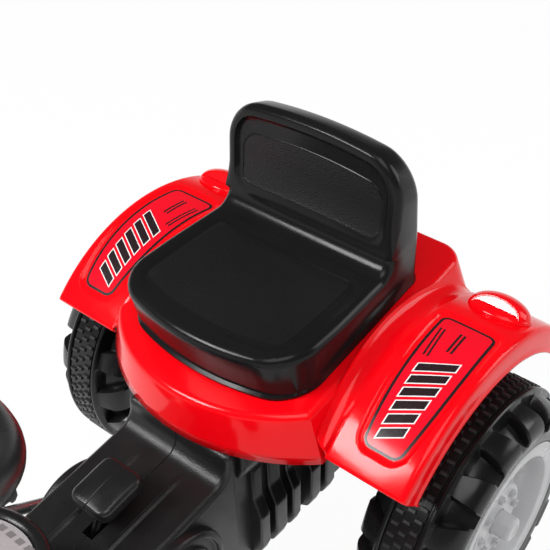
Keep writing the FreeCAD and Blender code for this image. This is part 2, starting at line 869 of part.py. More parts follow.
save("rear_sprocket", sprocket(HUB, rear_teeth, chain_dir))
save("crank_sprocket", sprocket(crank_axis, crank_teeth, chain_dir * -1))
plate = Part.Face(chain_loop(link_half_height)).extrude(X_AXIS * link_wall)
plate = plate.cut(Part.Face(chain_loop(-link_half_height)).extrude(X_AXIS * link_wall))
plate.translate(X_AXIS * (chain_half - link_wall))
front_rollers = pitch_points(crank_axis, crank_teeth, chain_dir * -1)
front_rollers = [p for p in front_rollers if (p - crank_axis).dot(chain_dir) < roller_r]
rear_rollers = pitch_points(HUB, rear_teeth, chain_dir)
rear_rollers = [p for p in rear_rollers if (p - HUB).dot(chain_dir) > -roller_r]
rollers = front_rollers + rear_rollers
for side in (chain_side, chain_side * -1):
    run_start = max(front_rollers, key=lambda p: p.dot(side))
    run_end = max(rear_rollers, key=lambda p: p.dot(side))
    links = round((run_end - run_start).Length / chain_pitch)
    rollers += [run_start + (run_end - run_start) * (i / links) for i in range(1, links)]
pins = [bar(p - X_AXIS * chain_half, p + X_AXIS * chain_half, roller_r) for p in rollers]
save("drive_chain", fuse([plate, mirrored(plate)] + pins))

# Crank: one bent steel rod, with a pedal on each pin
crank_turn = math.radians(crank_deg)
crank_out = V(0, math.cos(crank_turn), math.sin(crank_turn)) * crank_arm
knees = [
    crank_axis - crank_out - X_AXIS * crank_end_x,
    crank_axis - crank_out - X_AXIS * crank_outer_x,
    crank_axis - X_AXIS * crank_inner_x,
    crank_axis + X_AXIS * crank_inner_x,
    crank_axis + crank_out + X_AXIS * crank_outer_x,
    crank_axis + crank_out + X_AXIS * crank_end_x,
]
rods = [bar(start, end, axle_r) for start, end in zip(knees, knees[1:])]
bends = [Part.makeSphere(axle_r, knee) for knee in knees[1:-1]]
save("crank_shaft", fuse(rods + bends))


def pedal(side):
    # Block with grip slots across its top and underside
    pin = crank_axis + crank_out * side
    x = pedal_inner_x if side > 0 else -pedal_outer_x
    half_y = pedal_length / 2
    half_z = pedal_height / 2
    outline = [
        V(x, pin.y - half_y, pin.z - half_z),
        V(x, pin.y + half_y, pin.z - half_z),
        V(x, pin.y + half_y, pin.z + half_z),
        V(x, pin.y - half_y, pin.z + half_z),
    ]
    block = prism(outline, [pedal_corner_r] * len(outline), X_AXIS * (pedal_outer_x - pedal_inner_x))
    pitch = pedal_length / (pedal_slots + 1)
    for i in range(pedal_slots):
        y = pin.y - half_y + pitch * (i + 1) - pedal_slot / 2
        for z in (pin.z - half_z - overrun, pin.z + half_z - pedal_slot_depth):
            block = block.cut(box(
                x - overrun, x + pedal_outer_x, y, y + pedal_slot, z, z + pedal_slot_depth + overrun))
    return block.cut(bar(pin - X_AXIS * crank_end_x, pin + X_AXIS * crank_end_x, axle_r + fit_gap))


save("pedal_left", pedal(1))
save("pedal_right", pedal(-1))
nuts = []
for side in (1, -1):
    pin = crank_axis + crank_out * side
    start = pin + X_AXIS * side * (pedal_outer_x + slide_gap)
    nuts.append(ring(start, start + X_AXIS * side * nut_height, nut_r, axle_r))
save("pedal_retainers", Part.makeCompound(nuts))

# Gear lever with its knob, pin and bracket
stem = bar(lever_pivot - lever_run * (lever_r / lever_run.Length), knob_at, lever_r)
pin = bar(lever_pivot - X_AXIS * lever_pin_half, lever_pivot + X_AXIS * lever_pin_half, lever_pin_r)
save("lever_pin", pin)
save("lever_stem", stem.cut(pin))
knob_low = V(0, knob_y, knob_z - knob_height / 2)
outline = [
    knob_low + V(knob_half_x, -knob_half_y, 0),
    knob_low + V(knob_half_x, knob_half_y, 0),
    knob_low + V(-knob_half_x, knob_half_y, 0),
    knob_low + V(-knob_half_x, -knob_half_y, 0),
]
knob = prism(outline, [knob_corner_r] * len(outline), Z_AXIS * knob_height)
knob = knob.makeFillet(knob_edge_r, on_face(knob, Z_AXIS) + on_face(knob, Z_AXIS * -1))
knob.rotate(knob_at, X_AXIS, lever_tilt_deg)
save("lever_knob", knob.cut(stem))
plates = []
for x in (-lever_pin_half, lever_pin_half - lever_post):
    cheek = [
        V(x, lever_y - lever_plate, lever_pivot_z - lever_plate),
        V(x, lever_y + lever_plate, lever_pivot_z - lever_plate),
        V(x, lever_y + lever_plate, tunnel_z(lever_y + lever_plate) - chassis_wall),
        V(x, lever_y - lever_plate, tunnel_z(lever_y - lever_plate) - chassis_wall),
    ]
    plates.append(prism(cheek, [0] * len(cheek), X_AXIS * lever_post))
pin_hole = bar(lever_pivot - X_AXIS * tunnel_half, lever_pivot + X_AXIS * tunnel_half, lever_pin_r + fit_gap)
save("lever_bracket", Part.makeCompound([cheek.cut(pin_hole) for cheek in plates]))


# Steering wheel, shaft and cap, made upright and then tipped back to the column
def tipped(shape):
    shape.rotate(V(0, 0, 0), X_AXIS, -steer_tilt_deg)
    shape.translate(steer_mid)
    return shape


wheel = [Part.makeTorus(steer_rim_r, steer_tube_r)]
wheel.append(Part.makeCylinder(steer_hub_r, steer_hub_height, V(0, 0, -steer_dish)))
for degrees in spoke_deg:
    spoke = [
        V(steer_hub_r - overrun, -spoke_width / 2, -steer_dish + steer_hub_height - spoke_height),
        V(steer_rim_r, -spoke_width / 2, -spoke_height / 2),
        V(steer_rim_r, -spoke_width / 2, spoke_height / 2),
        V(steer_hub_r - overrun, -spoke_width / 2, -steer_dish + steer_hub_height),
    ]
    spoke = prism(spoke, [0] * len(spoke), Y_AXIS * spoke_width)
    spoke.rotate(V(0, 0, 0), Z_AXIS, degrees)
    wheel.append(spoke)
hub_top = V(0, 0, -steer_dish + steer_hub_height)
bore = bar(hub_top - Z_AXIS * (steer_z - steer_bottom_z), hub_top - Z_AXIS * cap_height, column_r)
save("steering_wheel", tipped(fuse(wheel).cut(bore)))
cap = Part.makeCylinder(cap_r, cap_height, hub_top)
save("steering_cap", tipped(cap.makeFillet(cap_edge_r, on_face(cap, Z_AXIS))))
column_top = steer_mid + steer_up * (hub_top.z - cap_height)
column_knee = steer_low + steer_back * steer_arm
column_pin = column_knee - steer_up * steer_pin_drop
shaft = [bar(column_top, steer_low, column_r), Part.makeSphere(column_r, steer_low)]
shaft += [bar(steer_low, column_knee, steer_pin_r), Part.makeSphere(steer_pin_r, column_knee)]
shaft.append(bar(column_knee, column_pin, steer_pin_r))
save("steering_shaft", fuse(shaft))
sleeve_low = steer_low + steer_up * ((front_keel_z - steer_bottom_z) / steer_up.z + overrun)
save("steering_bush", ring(sleeve_low, sleeve_low + steer_up * bush_r, bush_r, column_r + fit_gap))

# Front axle beam, held under the chassis by two posts
beam_front = front_axle_y - beam_half_y
beam_rear = front_axle_y + beam_half_y
beam_parts = [box(-kingpin_x, kingpin_x, beam_front, beam_rear, beam_z, beam_top_z)]
eyes = []
for side in (1, -1):
    x0, x1 = sorted((side * post_inner_x, side * post_outer_x))
    beam_parts.append(box(x0, x1, beam_front, beam_rear, beam_z, front_keel_z))
    low = V(side * kingpin_x, front_axle_y, beam_z)
    beam_parts.append(bar(low, low + Z_AXIS * (beam_top_z - beam_z), eye_r))
    eyes.append(bar(low - Z_AXIS * overrun, low + Z_AXIS * front_keel_z, kingpin_r + fit_gap))
save("front_axle_beam", fuse(beam_parts).cut(fuse(eyes)))

# Knuckles: a fork round the beam's eye, a stub for the wheel and an arm for the tie rod
fork_low = beam_z - lug_gap - lug_height
fork_top = beam_top_z + lug_gap
king_low = V(kingpin_x, front_axle_y, fork_low)
arm_end = V(kingpin_x, front_axle_y + steer_arm, fork_top)
yoke_front = front_axle_y - yoke_half_y
yoke_rear = front_axle_y + yoke_half_y
fork = []
for z in (fork_low, fork_top):
    fork.append(bar(V(kingpin_x, front_axle_y, z), V(kingpin_x, front_axle_y, z + lug_height), eye_r))
    fork.append(box(kingpin_x, yoke_outer_x, yoke_front, yoke_rear, z, z + lug_height))
fork.append(box(yoke_inner_x, yoke_outer_x, yoke_front, yoke_rear, fork_low, fork_top + lug_height))
fork.append(box(
    kingpin_x - arm_half, kingpin_x + arm_half, front_axle_y, arm_end.y, fork_top, fork_top + lug_height))
fork.append(bar(arm_end, arm_end + Z_AXIS * lug_height, arm_half))
fork.append(bar(arm_end - Z_AXIS * (tie_height + 2 * tie_gap), arm_end, tie_pin_r))
stub_end = front_wheel_x + front_wheel_half * wheel_cap_x_share - 2 * wheel_cap_wall
stub = V(yoke_inner_x, front_axle_y, front_wheel_r)
fork.append(bar(stub, V(stub_end, front_axle_y, front_wheel_r), axle_r))
kingpin = bar(king_low, king_low + Z_AXIS * (fork_top + lug_height - fork_low), kingpin_r)
knuckle = fuse(fork).cut(kingpin)
head = bar(V(kingpin_x, front_axle_y, fork_top + lug_height),
           V(kingpin_x, front_axle_y, fork_top + lug_height + kingpin_head), kingpin_head_r)
kingpin = kingpin.fuse(head).removeSplitter()
save("knuckle_left", knuckle)
save("knuckle_right", mirrored(knuckle))
save("kingpin_left", kingpin)
save("kingpin_right", mirrored(kingpin))

# Tie rod between the knuckle arms, with a slot for the column's pin
tie_top = fork_top - tie_gap
tie_y = arm_end.y
tie = [box(-kingpin_x, kingpin_x, tie_y - arm_half, tie_y + arm_half, tie_top - tie_height, tie_top)]
tie.append(box(
    -tie_slot_length, tie_slot_length, tie_y - tie_slot_length, tie_y + tie_slot_length / 2 + arm_half,
    tie_top - tie_height, tie_top))
holes = []
for side in (1, -1):
    end = V(side * kingpin_x, tie_y, tie_top)
    tie.append(bar(end - Z_AXIS * tie_height, end, tie_half_width))
    holes.append(bar(end - Z_AXIS * front_wheel_r, end + Z_AXIS * overrun, tie_pin_r + tie_hole_gap))
pin_gap = steer_pin_r + tie_slot_gap
holes.append(box(
    -pin_gap, pin_gap, tie_y - tie_slot_length / 2 - overrun / 2, tie_y + tie_slot_length / 2,
    fork_low, fork_top))
save("tie_rod", fuse(tie).cut(fuse(holes)))

# Dashboard: a black cover with a rolled rear lip, set on the chassis
dash_low = nose_top_z - strip_height


def dash_block(inset):
    side = [
        V(-hood_half, dash_rear_y - inset, dash_low - inset),
        V(-hood_half, dash_rear_y - inset, dash_rear_z + dash_lip_r - inset),
        V(-hood_half, hood_rear_y + inset, hood_rear_z - inset),
        V(-hood_half, hood_rear_y + inset, dash_low - inset),
    ]
    plan = [
        V(dash_rear_half - inset, dash_rear_y + overrun, keel_z),
        V(hood_half - inset, dash_widen_y, keel_z),
        V(hood_half - inset, hood_rear_y - overrun, keel_z),
        V(inset - hood_half, hood_rear_y - overrun, keel_z),
        V(inset - hood_half, dash_widen_y, keel_z),
        V(inset - dash_rear_half, dash_rear_y + overrun, keel_z),
    ]
    lip = dash_lip_r - inset
    block = prism(side, [0, lip, 0, 0], X_AXIS * (2 * hood_half))
    return block.common(prism(plan, [lip, 0, 0, 0, 0, lip], Z_AXIS * hood_rear_z))


tunnel_solid = prism(chassis_side(0, 0, chassis_rear_y, chest_y), flat, X_AXIS * tunnel_half)
strip_solid = strip.fuse(mirrored(strip))
tunnel_solid = fuse([tunnel_solid, mirrored(tunnel_solid), strip_solid])
boot_low = steer_mid - steer_up * ((steer_z - hood_rear_z + boot_height) / steer_up.z)
boot = Part.makeCone(boot_r, boot_top_r, boot_height * 2, boot_low, steer_up)
dash = dash_block(0).fuse(boot).cut(dash_block(dash_wall)).cut(tunnel_solid)
dash = dash.cut(bar(steer_low, steer_mid, column_r + fit_gap)).removeSplitter()
save("dashboard", dash)


# Hood: one cover from the dashboard to the grille
def hood_block(inset, rear, front):
    wires = []
    for y, half, top in ((rear, hood_half, hood_rear_z), (front, hood_nose_half, hood_nose_z)):
        section = [
            V(half - inset, y, hood_low_z - inset),
            V(half - inset, y, top - inset),
            V(inset - half, y, top - inset),
            V(inset - half, y, hood_low_z - inset),
        ]
        wires.append(rounded(section, [0, hood_edge_r - inset, hood_edge_r - inset, 0]))
    return Part.makeLoft(wires, True, True)


hood = hood_block(0, hood_rear_y, hood_front_y)
save("hood", hood.cut(hood_block(hood_wall, hood_rear_y, hood_front_y + hood_wall)))

# Grille with level slots, lamps and bumper
grille = [
    V(-grille_half, grille_front_y, grille_z),
    V(grille_half, grille_front_y, grille_z),
    V(grille_half, grille_front_y, grille_top_z),
    V(-grille_half, grille_front_y, grille_top_z),
]
grille = prism(grille, [grille_r] * len(grille), Y_AXIS * (hood_front_y - grille_front_y))
bar_pitch = (lamp_z - lamp_r - grille_r - grille_z) / grille_bars
for i in range(grille_bars):
    z = grille_z + bar_pitch * (i + grille_bar_share)
    grille = grille.cut(box(
        -grille_half + grille_r, grille_half - grille_r,
        grille_front_y - overrun, grille_front_y + grille_depth,
        z, z + bar_pitch * grille_bar_share))
for name, side in (("left", 1), ("right", -1)):
    start = V(side * lamp_x, grille_front_y + grille_depth, lamp_z)
    lamp = bar(start, start - Y_AXIS * lamp_depth, lamp_r)
    lamp = lamp.makeFillet(cap_edge_r, on_face(lamp, Y_AXIS * -1))
    grille = grille.cut(bar(start, start - Y_AXIS * lamp_depth * 2, lamp_r))
    save("headlight_" + name, lamp)
save("grille", grille)
bumper = [
    V(-bumper_half, chassis_front_y, bumper_z),
    V(bumper_half, chassis_front_y, bumper_z),
    V(bumper_half, front_end_y, bumper_z),
    V(-bumper_half, front_end_y, bumper_z),
]
bumper = prism(bumper, [0, 0, bumper_r, bumper_r], Z_AXIS * (hood_low_z - bumper_z))
save("front_bumper", bumper)

# Hitch: a flange on the chassis and a tongue with a pin hole
tongue = [
    V(-hitch_half, chassis_rear_y, hitch_z),
    V(hitch_half, chassis_rear_y, hitch_z),
    V(hitch_half, rear_end_y, hitch_z),
    V(-hitch_half, rear_end_y, hitch_z),
]
tongue = prism(tongue, [0, 0, hitch_half - slide_gap, hitch_half - slide_gap], Z_AXIS * hitch_height)
hitch = tongue.fuse(box(
    -hitch_half, hitch_half, chassis_rear_y, chassis_rear_y + hitch_flange,
    hitch_z - hitch_flange_height / 2, hitch_z + hitch_flange_height / 2))
hole = V(0, hitch_hole_y, hitch_z - overrun)
hitch = hitch.cut(bar(hole, hole + Z_AXIS * (hitch_height + 2 * overrun), hitch_hole_r))
save("hitch", hitch.removeSplitter())

# Screw heads, the same on both sides
side_screws = []
hood_screws = []
for side in (1, -1):
    for y in side_screw_y:
        x = side * (hip_half if y > hip_y else tunnel_half)
        side_screws.append(bar(V(x, y, side_screw_z), V(x + side * screw_height, y, side_screw_z), screw_r))
    for y in hood_screw_y:
        share = (y - hood_rear_y) / (hood_front_y - hood_rear_y)
        x = side * (hood_half + (hood_nose_half - hood_half) * share)
        x += side * fit_gap
        hood_screws.append(bar(V(x, y, hood_screw_z), V(x + side * screw_height, y, hood_screw_z), screw_r))
save("chassis_screws", Part.makeCompound(side_screws))
save("hood_screws", Part.makeCompound(hood_screws))
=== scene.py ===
import math

import bmesh
import bpy
from mathutils import Matrix, Vector


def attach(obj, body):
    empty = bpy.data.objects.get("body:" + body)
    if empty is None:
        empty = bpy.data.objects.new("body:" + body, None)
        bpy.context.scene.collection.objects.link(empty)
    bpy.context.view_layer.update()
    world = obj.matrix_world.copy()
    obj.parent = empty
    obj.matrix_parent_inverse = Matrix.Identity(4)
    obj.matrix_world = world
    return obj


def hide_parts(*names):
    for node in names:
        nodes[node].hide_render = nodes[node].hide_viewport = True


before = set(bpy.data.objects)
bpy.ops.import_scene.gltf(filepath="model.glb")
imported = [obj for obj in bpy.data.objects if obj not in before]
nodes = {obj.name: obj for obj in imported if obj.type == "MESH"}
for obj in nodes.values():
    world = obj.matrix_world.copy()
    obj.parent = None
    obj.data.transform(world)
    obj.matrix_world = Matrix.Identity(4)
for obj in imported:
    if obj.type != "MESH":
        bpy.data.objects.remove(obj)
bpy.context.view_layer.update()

# Studio: a pale seamless floor under a dim ceiling, seen by a long lens from the front left. One
# soft box stands at the front right, a wider one high at the front left and a weak one behind.
white, dim_grey, paper_grey = (1.0, 1.0, 1.0, 1.0), (0.10, 0.10, 0.10, 1.0), (0.86, 0.86, 0.86, 1.0)
fill_light, paper_share, floor_size, floor_drop = 0.36, 0.96, 12.0, 0.0006
view_back = Vector((0.4898, -0.6048, 0.6280))
lens_data = bpy.data.cameras.new("studio_camera")
lens_data.lens = 65.49
lens_data.sensor_width = 36.0
lens_data.shift_x = -0.0482
lens_data.shift_y = 0.0473
lens_data.clip_end = 60.0
camera = bpy.data.objects.new("studio_camera", lens_data)
bpy.context.collection.objects.link(camera)
camera.location = (0.4876, -0.3041, 0.9164)
camera.rotation_mode = "QUATERNION"
camera.rotation_quaternion = (-view_back).to_track_quat("-Z", "Y")
bpy.context.scene.camera = camera
bpy.context.scene.view_settings.view_transform = "Standard"


def soft_box(name, place, aim, width, height, power):
    data = bpy.data.lights.new(name, "AREA")
    data.shape = "RECTANGLE"
    data.size = width
    data.size_y = height
    data.energy = power
    lamp = bpy.data.objects.new(name, data)
    bpy.context.collection.objects.link(lamp)
    lamp.location = place
    lamp.rotation_mode = "QUATERNION"
    lamp.rotation_quaternion = (Vector(aim) - Vector(place)).to_track_quat("-Z", "Y")


def wire_up(tree, kind, **values):
    # One shader node with its constant sockets set
    node = tree.nodes.new("ShaderNode" + kind)
    for socket, value in values.items():
        node.inputs[socket.replace("_", " ")].default_value = value
    return node


def link_up(tree, *pairs):
    for start, end in pairs:
        tree.links.new(start, end)


def colour_ramp(tree, *stops):
    # A blend from one colour to another, each at its place
    node = wire_up(tree, "ValToRGB")
    for element, (place, colour) in zip(node.color_ramp.elements, stops):
        element.position = place
        element.color = colour
    return node


def seen_straight(tree):
    # 1 for what the lens, a glossy surface or a clear one sees, 0 for light that fills shadows
    path = wire_up(tree, "LightPath").outputs
    seen = path["Is Camera Ray"]
    for way in ("Is Glossy Ray", "Is Transmission Ray"):
        either = wire_up(tree, "Math")
        either.operation = "MAXIMUM"
        link_up(tree, (seen, either.inputs[0]), (path[way], either.inputs[1]))
        seen = either.outputs[0]
    return seen


soft_box("soft_box_front", (-0.84, -1.23, 1.80), (0.05, 0.15, 0.3), 0.84, 0.70, 46.0)
soft_box("soft_box_high", (0.9, -0.6, 2.5), (0.0, 0.1, 0.3), 1.6, 1.6, 26.0)
soft_box("soft_box_rear", (1.6, 1.9, 1.3), (0.0, 0.2, 0.3), 1.2, 1.2, 18.0)

world = bpy.data.worlds.new("studio_room")
bpy.context.scene.world = world
world.use_nodes = True
room = world.node_tree
room.nodes.clear()
room_way = wire_up(room, "TexCoord")
room_split = wire_up(room, "SeparateXYZ")
room_rise = wire_up(room, "MapRange", From_Min=-1.0)
room_shade = colour_ramp(room, (0.50, white), (0.60, dim_grey))
room_seen = wire_up(room, "Background")
room_light = wire_up(room, "Background", Color=white, Strength=fill_light)
room_mix = wire_up(room, "MixShader")
room_out = wire_up(room, "OutputWorld")
link_up(
    room, (room_way.outputs["Generated"], room_split.inputs[0]), (room_split.outputs["Z"], room_rise.inputs["Value"]),
    (room_rise.outputs[0], room_shade.inputs[0]), (room_shade.outputs[0], room_seen.inputs["Color"]),
    (seen_straight(room), room_mix.inputs[0]), (room_light.outputs[0], room_mix.inputs[1]),
    (room_seen.outputs[0], room_mix.inputs[2]), (room_mix.outputs[0], room_out.inputs["Surface"]))

floor_mesh = bmesh.new()
bmesh.ops.create_grid(floor_mesh, x_segments=2, y_segments=2, size=floor_size)
bmesh.ops.translate(floor_mesh, verts=floor_mesh.verts, vec=(0.0, 0.0, -floor_drop))
floor_data = bpy.data.meshes.new("studio_floor")
floor_mesh.to_mesh(floor_data)
floor_mesh.free()
floor = bpy.data.objects.new("studio_floor", floor_data)
bpy.context.collection.objects.link(floor)
floor_skin = bpy.data.materials.new("studio_paper")
floor_skin.use_nodes = True
paper = floor_skin.node_tree
paper.nodes.clear()
paper_matt = wire_up(paper, "BsdfDiffuse", Color=paper_grey)
paper_glow = wire_up(paper, "Emission", Color=white)
paper_level = wire_up(paper, "Math")
paper_level.operation = "MULTIPLY"
paper_level.inputs[1].default_value = paper_share
paper_mix = wire_up(paper, "MixShader")
paper_out = wire_up(paper, "OutputMaterial")
link_up(
    paper, (seen_straight(paper), paper_level.inputs[0]), (paper_level.outputs[0], paper_mix.inputs[0]),
    (paper_matt.outputs[0], paper_mix.inputs[1]), (paper_glow.outputs[0], paper_mix.inputs[2]),
    (paper_mix.outputs[0], paper_out.inputs["Surface"]))
floor_data.materials.append(floor_skin)

# Rear axle, crank and chain drive: a plain zinc-plated rod through nylon bushes, a bent crank
# rod, two toothed wheels and a roller chain, laid into the chassis before its halves close.
rod_brush, link_brush = (20.0, 900.0, 900.0), (300.0, 300.0, 300.0)


def moulded(name, colour, deep, rough, grain, depth, haze=0.05, shine=0.5):
    # Moulded plastic: slow colour drift, uneven gloss and a fine skin texture
    skin = bpy.data.materials.new(name)
    skin.use_nodes = True
    tree = skin.node_tree
    shader = tree.nodes["Principled BSDF"]
    shader.inputs["IOR"].default_value = 1.5
    shader.inputs["Specular IOR Level"].default_value = shine
    place = wire_up(tree, "TexCoord").outputs["Object"]
    drift = wire_up(tree, "TexNoise", Scale=9.0, Detail=3.0, Roughness=0.6)
    tint = colour_ramp(tree, (0.3, (*deep, 1.0)), (0.7, (*colour, 1.0)))
    smear = wire_up(tree, "TexNoise", Scale=38.0, Detail=4.0, Roughness=0.65)
    gloss = wire_up(tree, "MapRange", From_Min=0.3, From_Max=0.7, To_Min=rough - haze, To_Max=rough + haze)
    pores = wire_up(tree, "TexNoise", Scale=1.0 / grain, Detail=2.0, Roughness=0.5)
    bump = wire_up(tree, "Bump", Strength=0.5, Distance=depth)
    link_up(
        tree, (place, drift.inputs["Vector"]), (place, smear.inputs["Vector"]), (place, pores.inputs["Vector"]),
        (drift.outputs["Fac"], tint.inputs["Fac"]), (tint.outputs["Color"], shader.inputs["Base Color"]),
        (smear.outputs["Fac"], gloss.inputs["Value"]), (gloss.outputs["Result"], shader.inputs["Roughness"]),
        (pores.outputs["Fac"], bump.inputs["Height"]), (bump.outputs["Normal"], shader.inputs["Normal"]))
    return skin


def plated(name, colour, deep, rough, brush):
    # Plated steel: cloudy plating, fine drawing lines along the rod and uneven gloss
    skin = moulded(name, colour, deep, rough, grain=0.0009, depth=0.00006, haze=0.08)
    tree = skin.node_tree
    shader = tree.nodes["Principled BSDF"]
    shader.inputs["Metallic"].default_value = 1.0
    place = wire_up(tree, "TexCoord")
    stretch = wire_up(tree, "Mapping", Scale=brush)
    lines = wire_up(tree, "TexNoise", Scale=1.0, Detail=4.0, Roughness=0.7)
    level = wire_up(tree, "MapRange", From_Min=0.3, From_Max=0.7, To_Min=rough - 0.08, To_Max=rough + 0.12)
    link_up(
        tree, (place.outputs["Object"], stretch.inputs["Vector"]), (stretch.outputs["Vector"], lines.inputs["Vector"]),
        (lines.outputs["Fac"], level.inputs["Value"]), (level.outputs["Result"], shader.inputs["Roughness"]))
    return skin


def dress(skin, *names):
    # Gives CAD nodes that keep their shape their real finish
    for name in names:
        for slot in nodes[name].material_slots:
            slot.material = skin


zinc_steel = plated("zinc_plated_steel", (0.60, 0.60, 0.61), (0.50, 0.50, 0.52), 0.30, rod_brush)
chain_steel = plated("oiled_chain_steel", (0.23, 0.22, 0.21), (0.15, 0.14, 0.13), 0.38, link_brush)
nylon_white = moulded("white_nylon", (0.66, 0.65, 0.62), (0.58, 0.57, 0.54), 0.42, grain=0.0020, depth=0.00005)
dress(zinc_steel, "rear_axle", "crank_shaft", "crank_sprocket", "rear_sprocket")
dress(chain_steel, "drive_chain")
dress(nylon_white, "rear_axle_bush_left", "rear_axle_bush_right", "crank_bush_left", "crank_bush_right")

# Chassis: two hollow halves blow-moulded in grained black polyethylene that close over the drive on
# the centre line. Tunnel, riser, crank boss and side ribs are moulded in. Spacers and hitch match it.
chassis_black = moulded(
    "grained_black_body", (0.0105, 0.0098, 0.0100), (0.0082, 0.0076, 0.0078), 0.33, grain=0.0012, depth=0.0005,
    haze=0.06, shine=0.42)
tunnel_half, hip_half, hip_front, cheek_round = 0.064, 0.060, 0.125, 0.0065
crank_y, crank_z = 0.044, 0.163
riser_top, riser_foot, tunnel_rise = (0.116, 0.258), (0.116, 0.232), 0.15
tail_low, nose_low = (0.410, 0.090), (-0.430, 0.140)
keel_front, keel_rear = (-0.150, 0.140), (-0.100, 0.090)
side_line = (
    tail_low, (0.410, 0.332), (0.131, 0.304), (0.131, 0.258), riser_top, riser_foot,
    (-0.0573, 0.206), (-0.430, 0.206), nose_low, keel_front, keel_rear)
corner_rounds = (
    (riser_foot, 0.015), (riser_top, 0.006), (tail_low, 0.020), (keel_rear, 0.020), (keel_front, 0.020),
    (nose_low, 0.012))
slot_front, slot_rear, slot_half, slot_deep = 0.003, 0.031, 0.0065, 0.014
seam_lines, seam_deep = (0.0007, 0.0012), 0.0009
bead_lines, bead_low, bead_high, bead_lift = (0.0218, 0.0222, 0.0248, 0.0260, 0.0286, 0.0290), 0.0247, 0.0261, 0.0013
bead_front, bead_fade, bead_rear = -0.0575, 0.083, 0.098
boss_rows = (
    (0.050, 0.0122), (0.050, 0.0540), (0.0675, 0.0540), (0.0700, 0.0532), (0.0715, 0.0518), (0.0720, 0.0498),
    (0.0720, 0.0482), (0.0712, 0.0470), (0.0690, 0.0462), (0.0678, 0.0446), (0.0676, 0.0380), (0.0684, 0.0366),
    (0.0700, 0.0358), (0.0706, 0.0344), (0.0706, 0.0322), (0.0698, 0.0310), (0.0684, 0.0304), (0.0678, 0.0290),
    (0.0680, 0.0232), (0.0700, 0.0220), (0.0720, 0.0212), (0.0720, 0.0122))
rib_places = ((0.146, 0.160), (0.168, 0.186), (0.194, 0.207), (0.223, 0.239), (0.247, 0.263))
rib_rows = (
    (0.056, 0.222), (0.0640, 0.216), (0.0655, 0.176), (0.0740, 0.156), (0.0740, 0.114), (0.0690, 0.100), (0.056, 0.094))
pad_rows = ((0.056, 0.262), (0.0695, 0.262), (0.0695, 0.232), (0.0640, 0.220), (0.056, 0.216))
pad_place, rib_round, pad_round = (0.130, 0.160), 0.0028, 0.0055


def make_piece(name, mesh, skins, body, sharp_deg=32.0, outward=True, flats=False):
    # Closed seams, outward faces and soft shading except across real edges. Flats keeps flat faces flat
    bmesh.ops.remove_doubles(mesh, verts=mesh.verts, dist=0.00002)
    if outward:
        bmesh.ops.recalc_face_normals(mesh, faces=mesh.faces)
    for face in mesh.faces:
        face.smooth = True
    for edge in mesh.edges:
        if len(edge.link_faces) == 2:
            edge.smooth = edge.calc_face_angle(0.0) < math.radians(sharp_deg)
    data = bpy.data.meshes.new(name)
    mesh.to_mesh(data)
    mesh.free()
    for skin in skins:
        data.materials.append(skin)
    piece = bpy.data.objects.new(name, data)
    bpy.context.collection.objects.link(piece)
    if flats:
        shading = piece.modifiers.new("flat_faces", "WEIGHTED_NORMAL")
        shading.keep_sharp = True
        shading.weight = 100
    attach(piece, body)
    return piece


def ease(value, low, high):
    # Smooth step from 0 at low to 1 at high
    share = min(1.0, max(0.0, (value - low) / (high - low)))
    return share * share * (3.0 - 2.0 * share)


def made(geom, kind=bmesh.types.BMVert):
    # The corners, or another kind of element, in an operator's result
    return [g for g in geom if isinstance(g, kind)]


def everything(mesh):
    return list(mesh.verts) + list(mesh.edges) + list(mesh.faces)


def move(mesh, run):
    bmesh.ops.translate(mesh, verts=mesh.verts, vec=run)


def mirror(mesh, side):
    # Makes a left-hand shape a right-hand one where side is -1
    bmesh.ops.scale(mesh, verts=mesh.verts, vec=(side, 1.0, 1.0))


def slice_at(mesh, place, normal, clear=False):
    # One straight cut through the mesh. What lies past it goes where clear is set
    return bmesh.ops.bisect_plane(
        mesh, geom=everything(mesh), dist=0.00001, plane_co=place, plane_no=normal, clear_outer=clear)


def slice_up(mesh, axis, places):
    # Cuts across the mesh, so that its flat faces can bend
    for place in places:
        normal = Vector((0.0, 0.0, 0.0))
        normal[axis] = 1.0
        slice_at(mesh, normal * place, normal)


def edges_between(mesh, start, end):
    # Edges that run from one corner of the side view to another
    found = []
    for edge in mesh.edges:
        ends = [(v.co.y, v.co.z) for v in edge.verts]
        for a, b in (ends, ends[::-1]):
            if math.dist(a, start) < 0.0002 and math.dist(b, end) < 0.0002 and edge not in found:
                found.append(edge)
    return found


def sharp_edges(mesh, degrees):
    return [e for e in mesh.edges if len(e.link_faces) == 2 and e.calc_face_angle(0.0) > math.radians(degrees)]


def round_off(mesh, geom, size, steps, affect="EDGES"):
    bmesh.ops.bevel(mesh, geom=geom, offset=size, segments=steps, profile=0.5, affect=affect, material=-1)


def widest_face(mesh, facing, low_z=0.0):
    # The largest face that looks in a direction
    looks = [f for f in mesh.faces if f.normal.dot(Vector(facing)) > 0.9 and f.calc_center_median().z > low_z]
    return max(looks, key=lambda f: f.calc_area())


def prism(corners, run):
    # A flat outline drawn out along a straight run
    mesh = bmesh.new()
    base = mesh.faces.new([mesh.verts.new(corner) for corner in corners])
    swept = bmesh.ops.extrude_face_region(mesh, geom=[base])
    bmesh.ops.translate(mesh, verts=made(swept["geom"]), vec=run)
    bmesh.ops.recalc_face_normals(mesh, faces=mesh.faces)
    return mesh


def lathe(points, closed, steps, sweep=2 * math.pi):
    # Section of (x, radius) points turned round the X line
    mesh = bmesh.new()
    ring = [mesh.verts.new((x, 0.0, r)) for x, r in points]
    pairs = list(zip(ring, ring[1:] + ring[:1])) if closed else list(zip(ring, ring[1:]))
    lines = [mesh.edges.new(pair) for pair in pairs]
    bmesh.ops.spin(
        mesh, geom=ring + lines, cent=(0.0, 0.0, 0.0), axis=(1.0, 0.0, 0.0), angle=sweep,
        steps=steps, use_merge=sweep == 2 * math.pi)
    return mesh


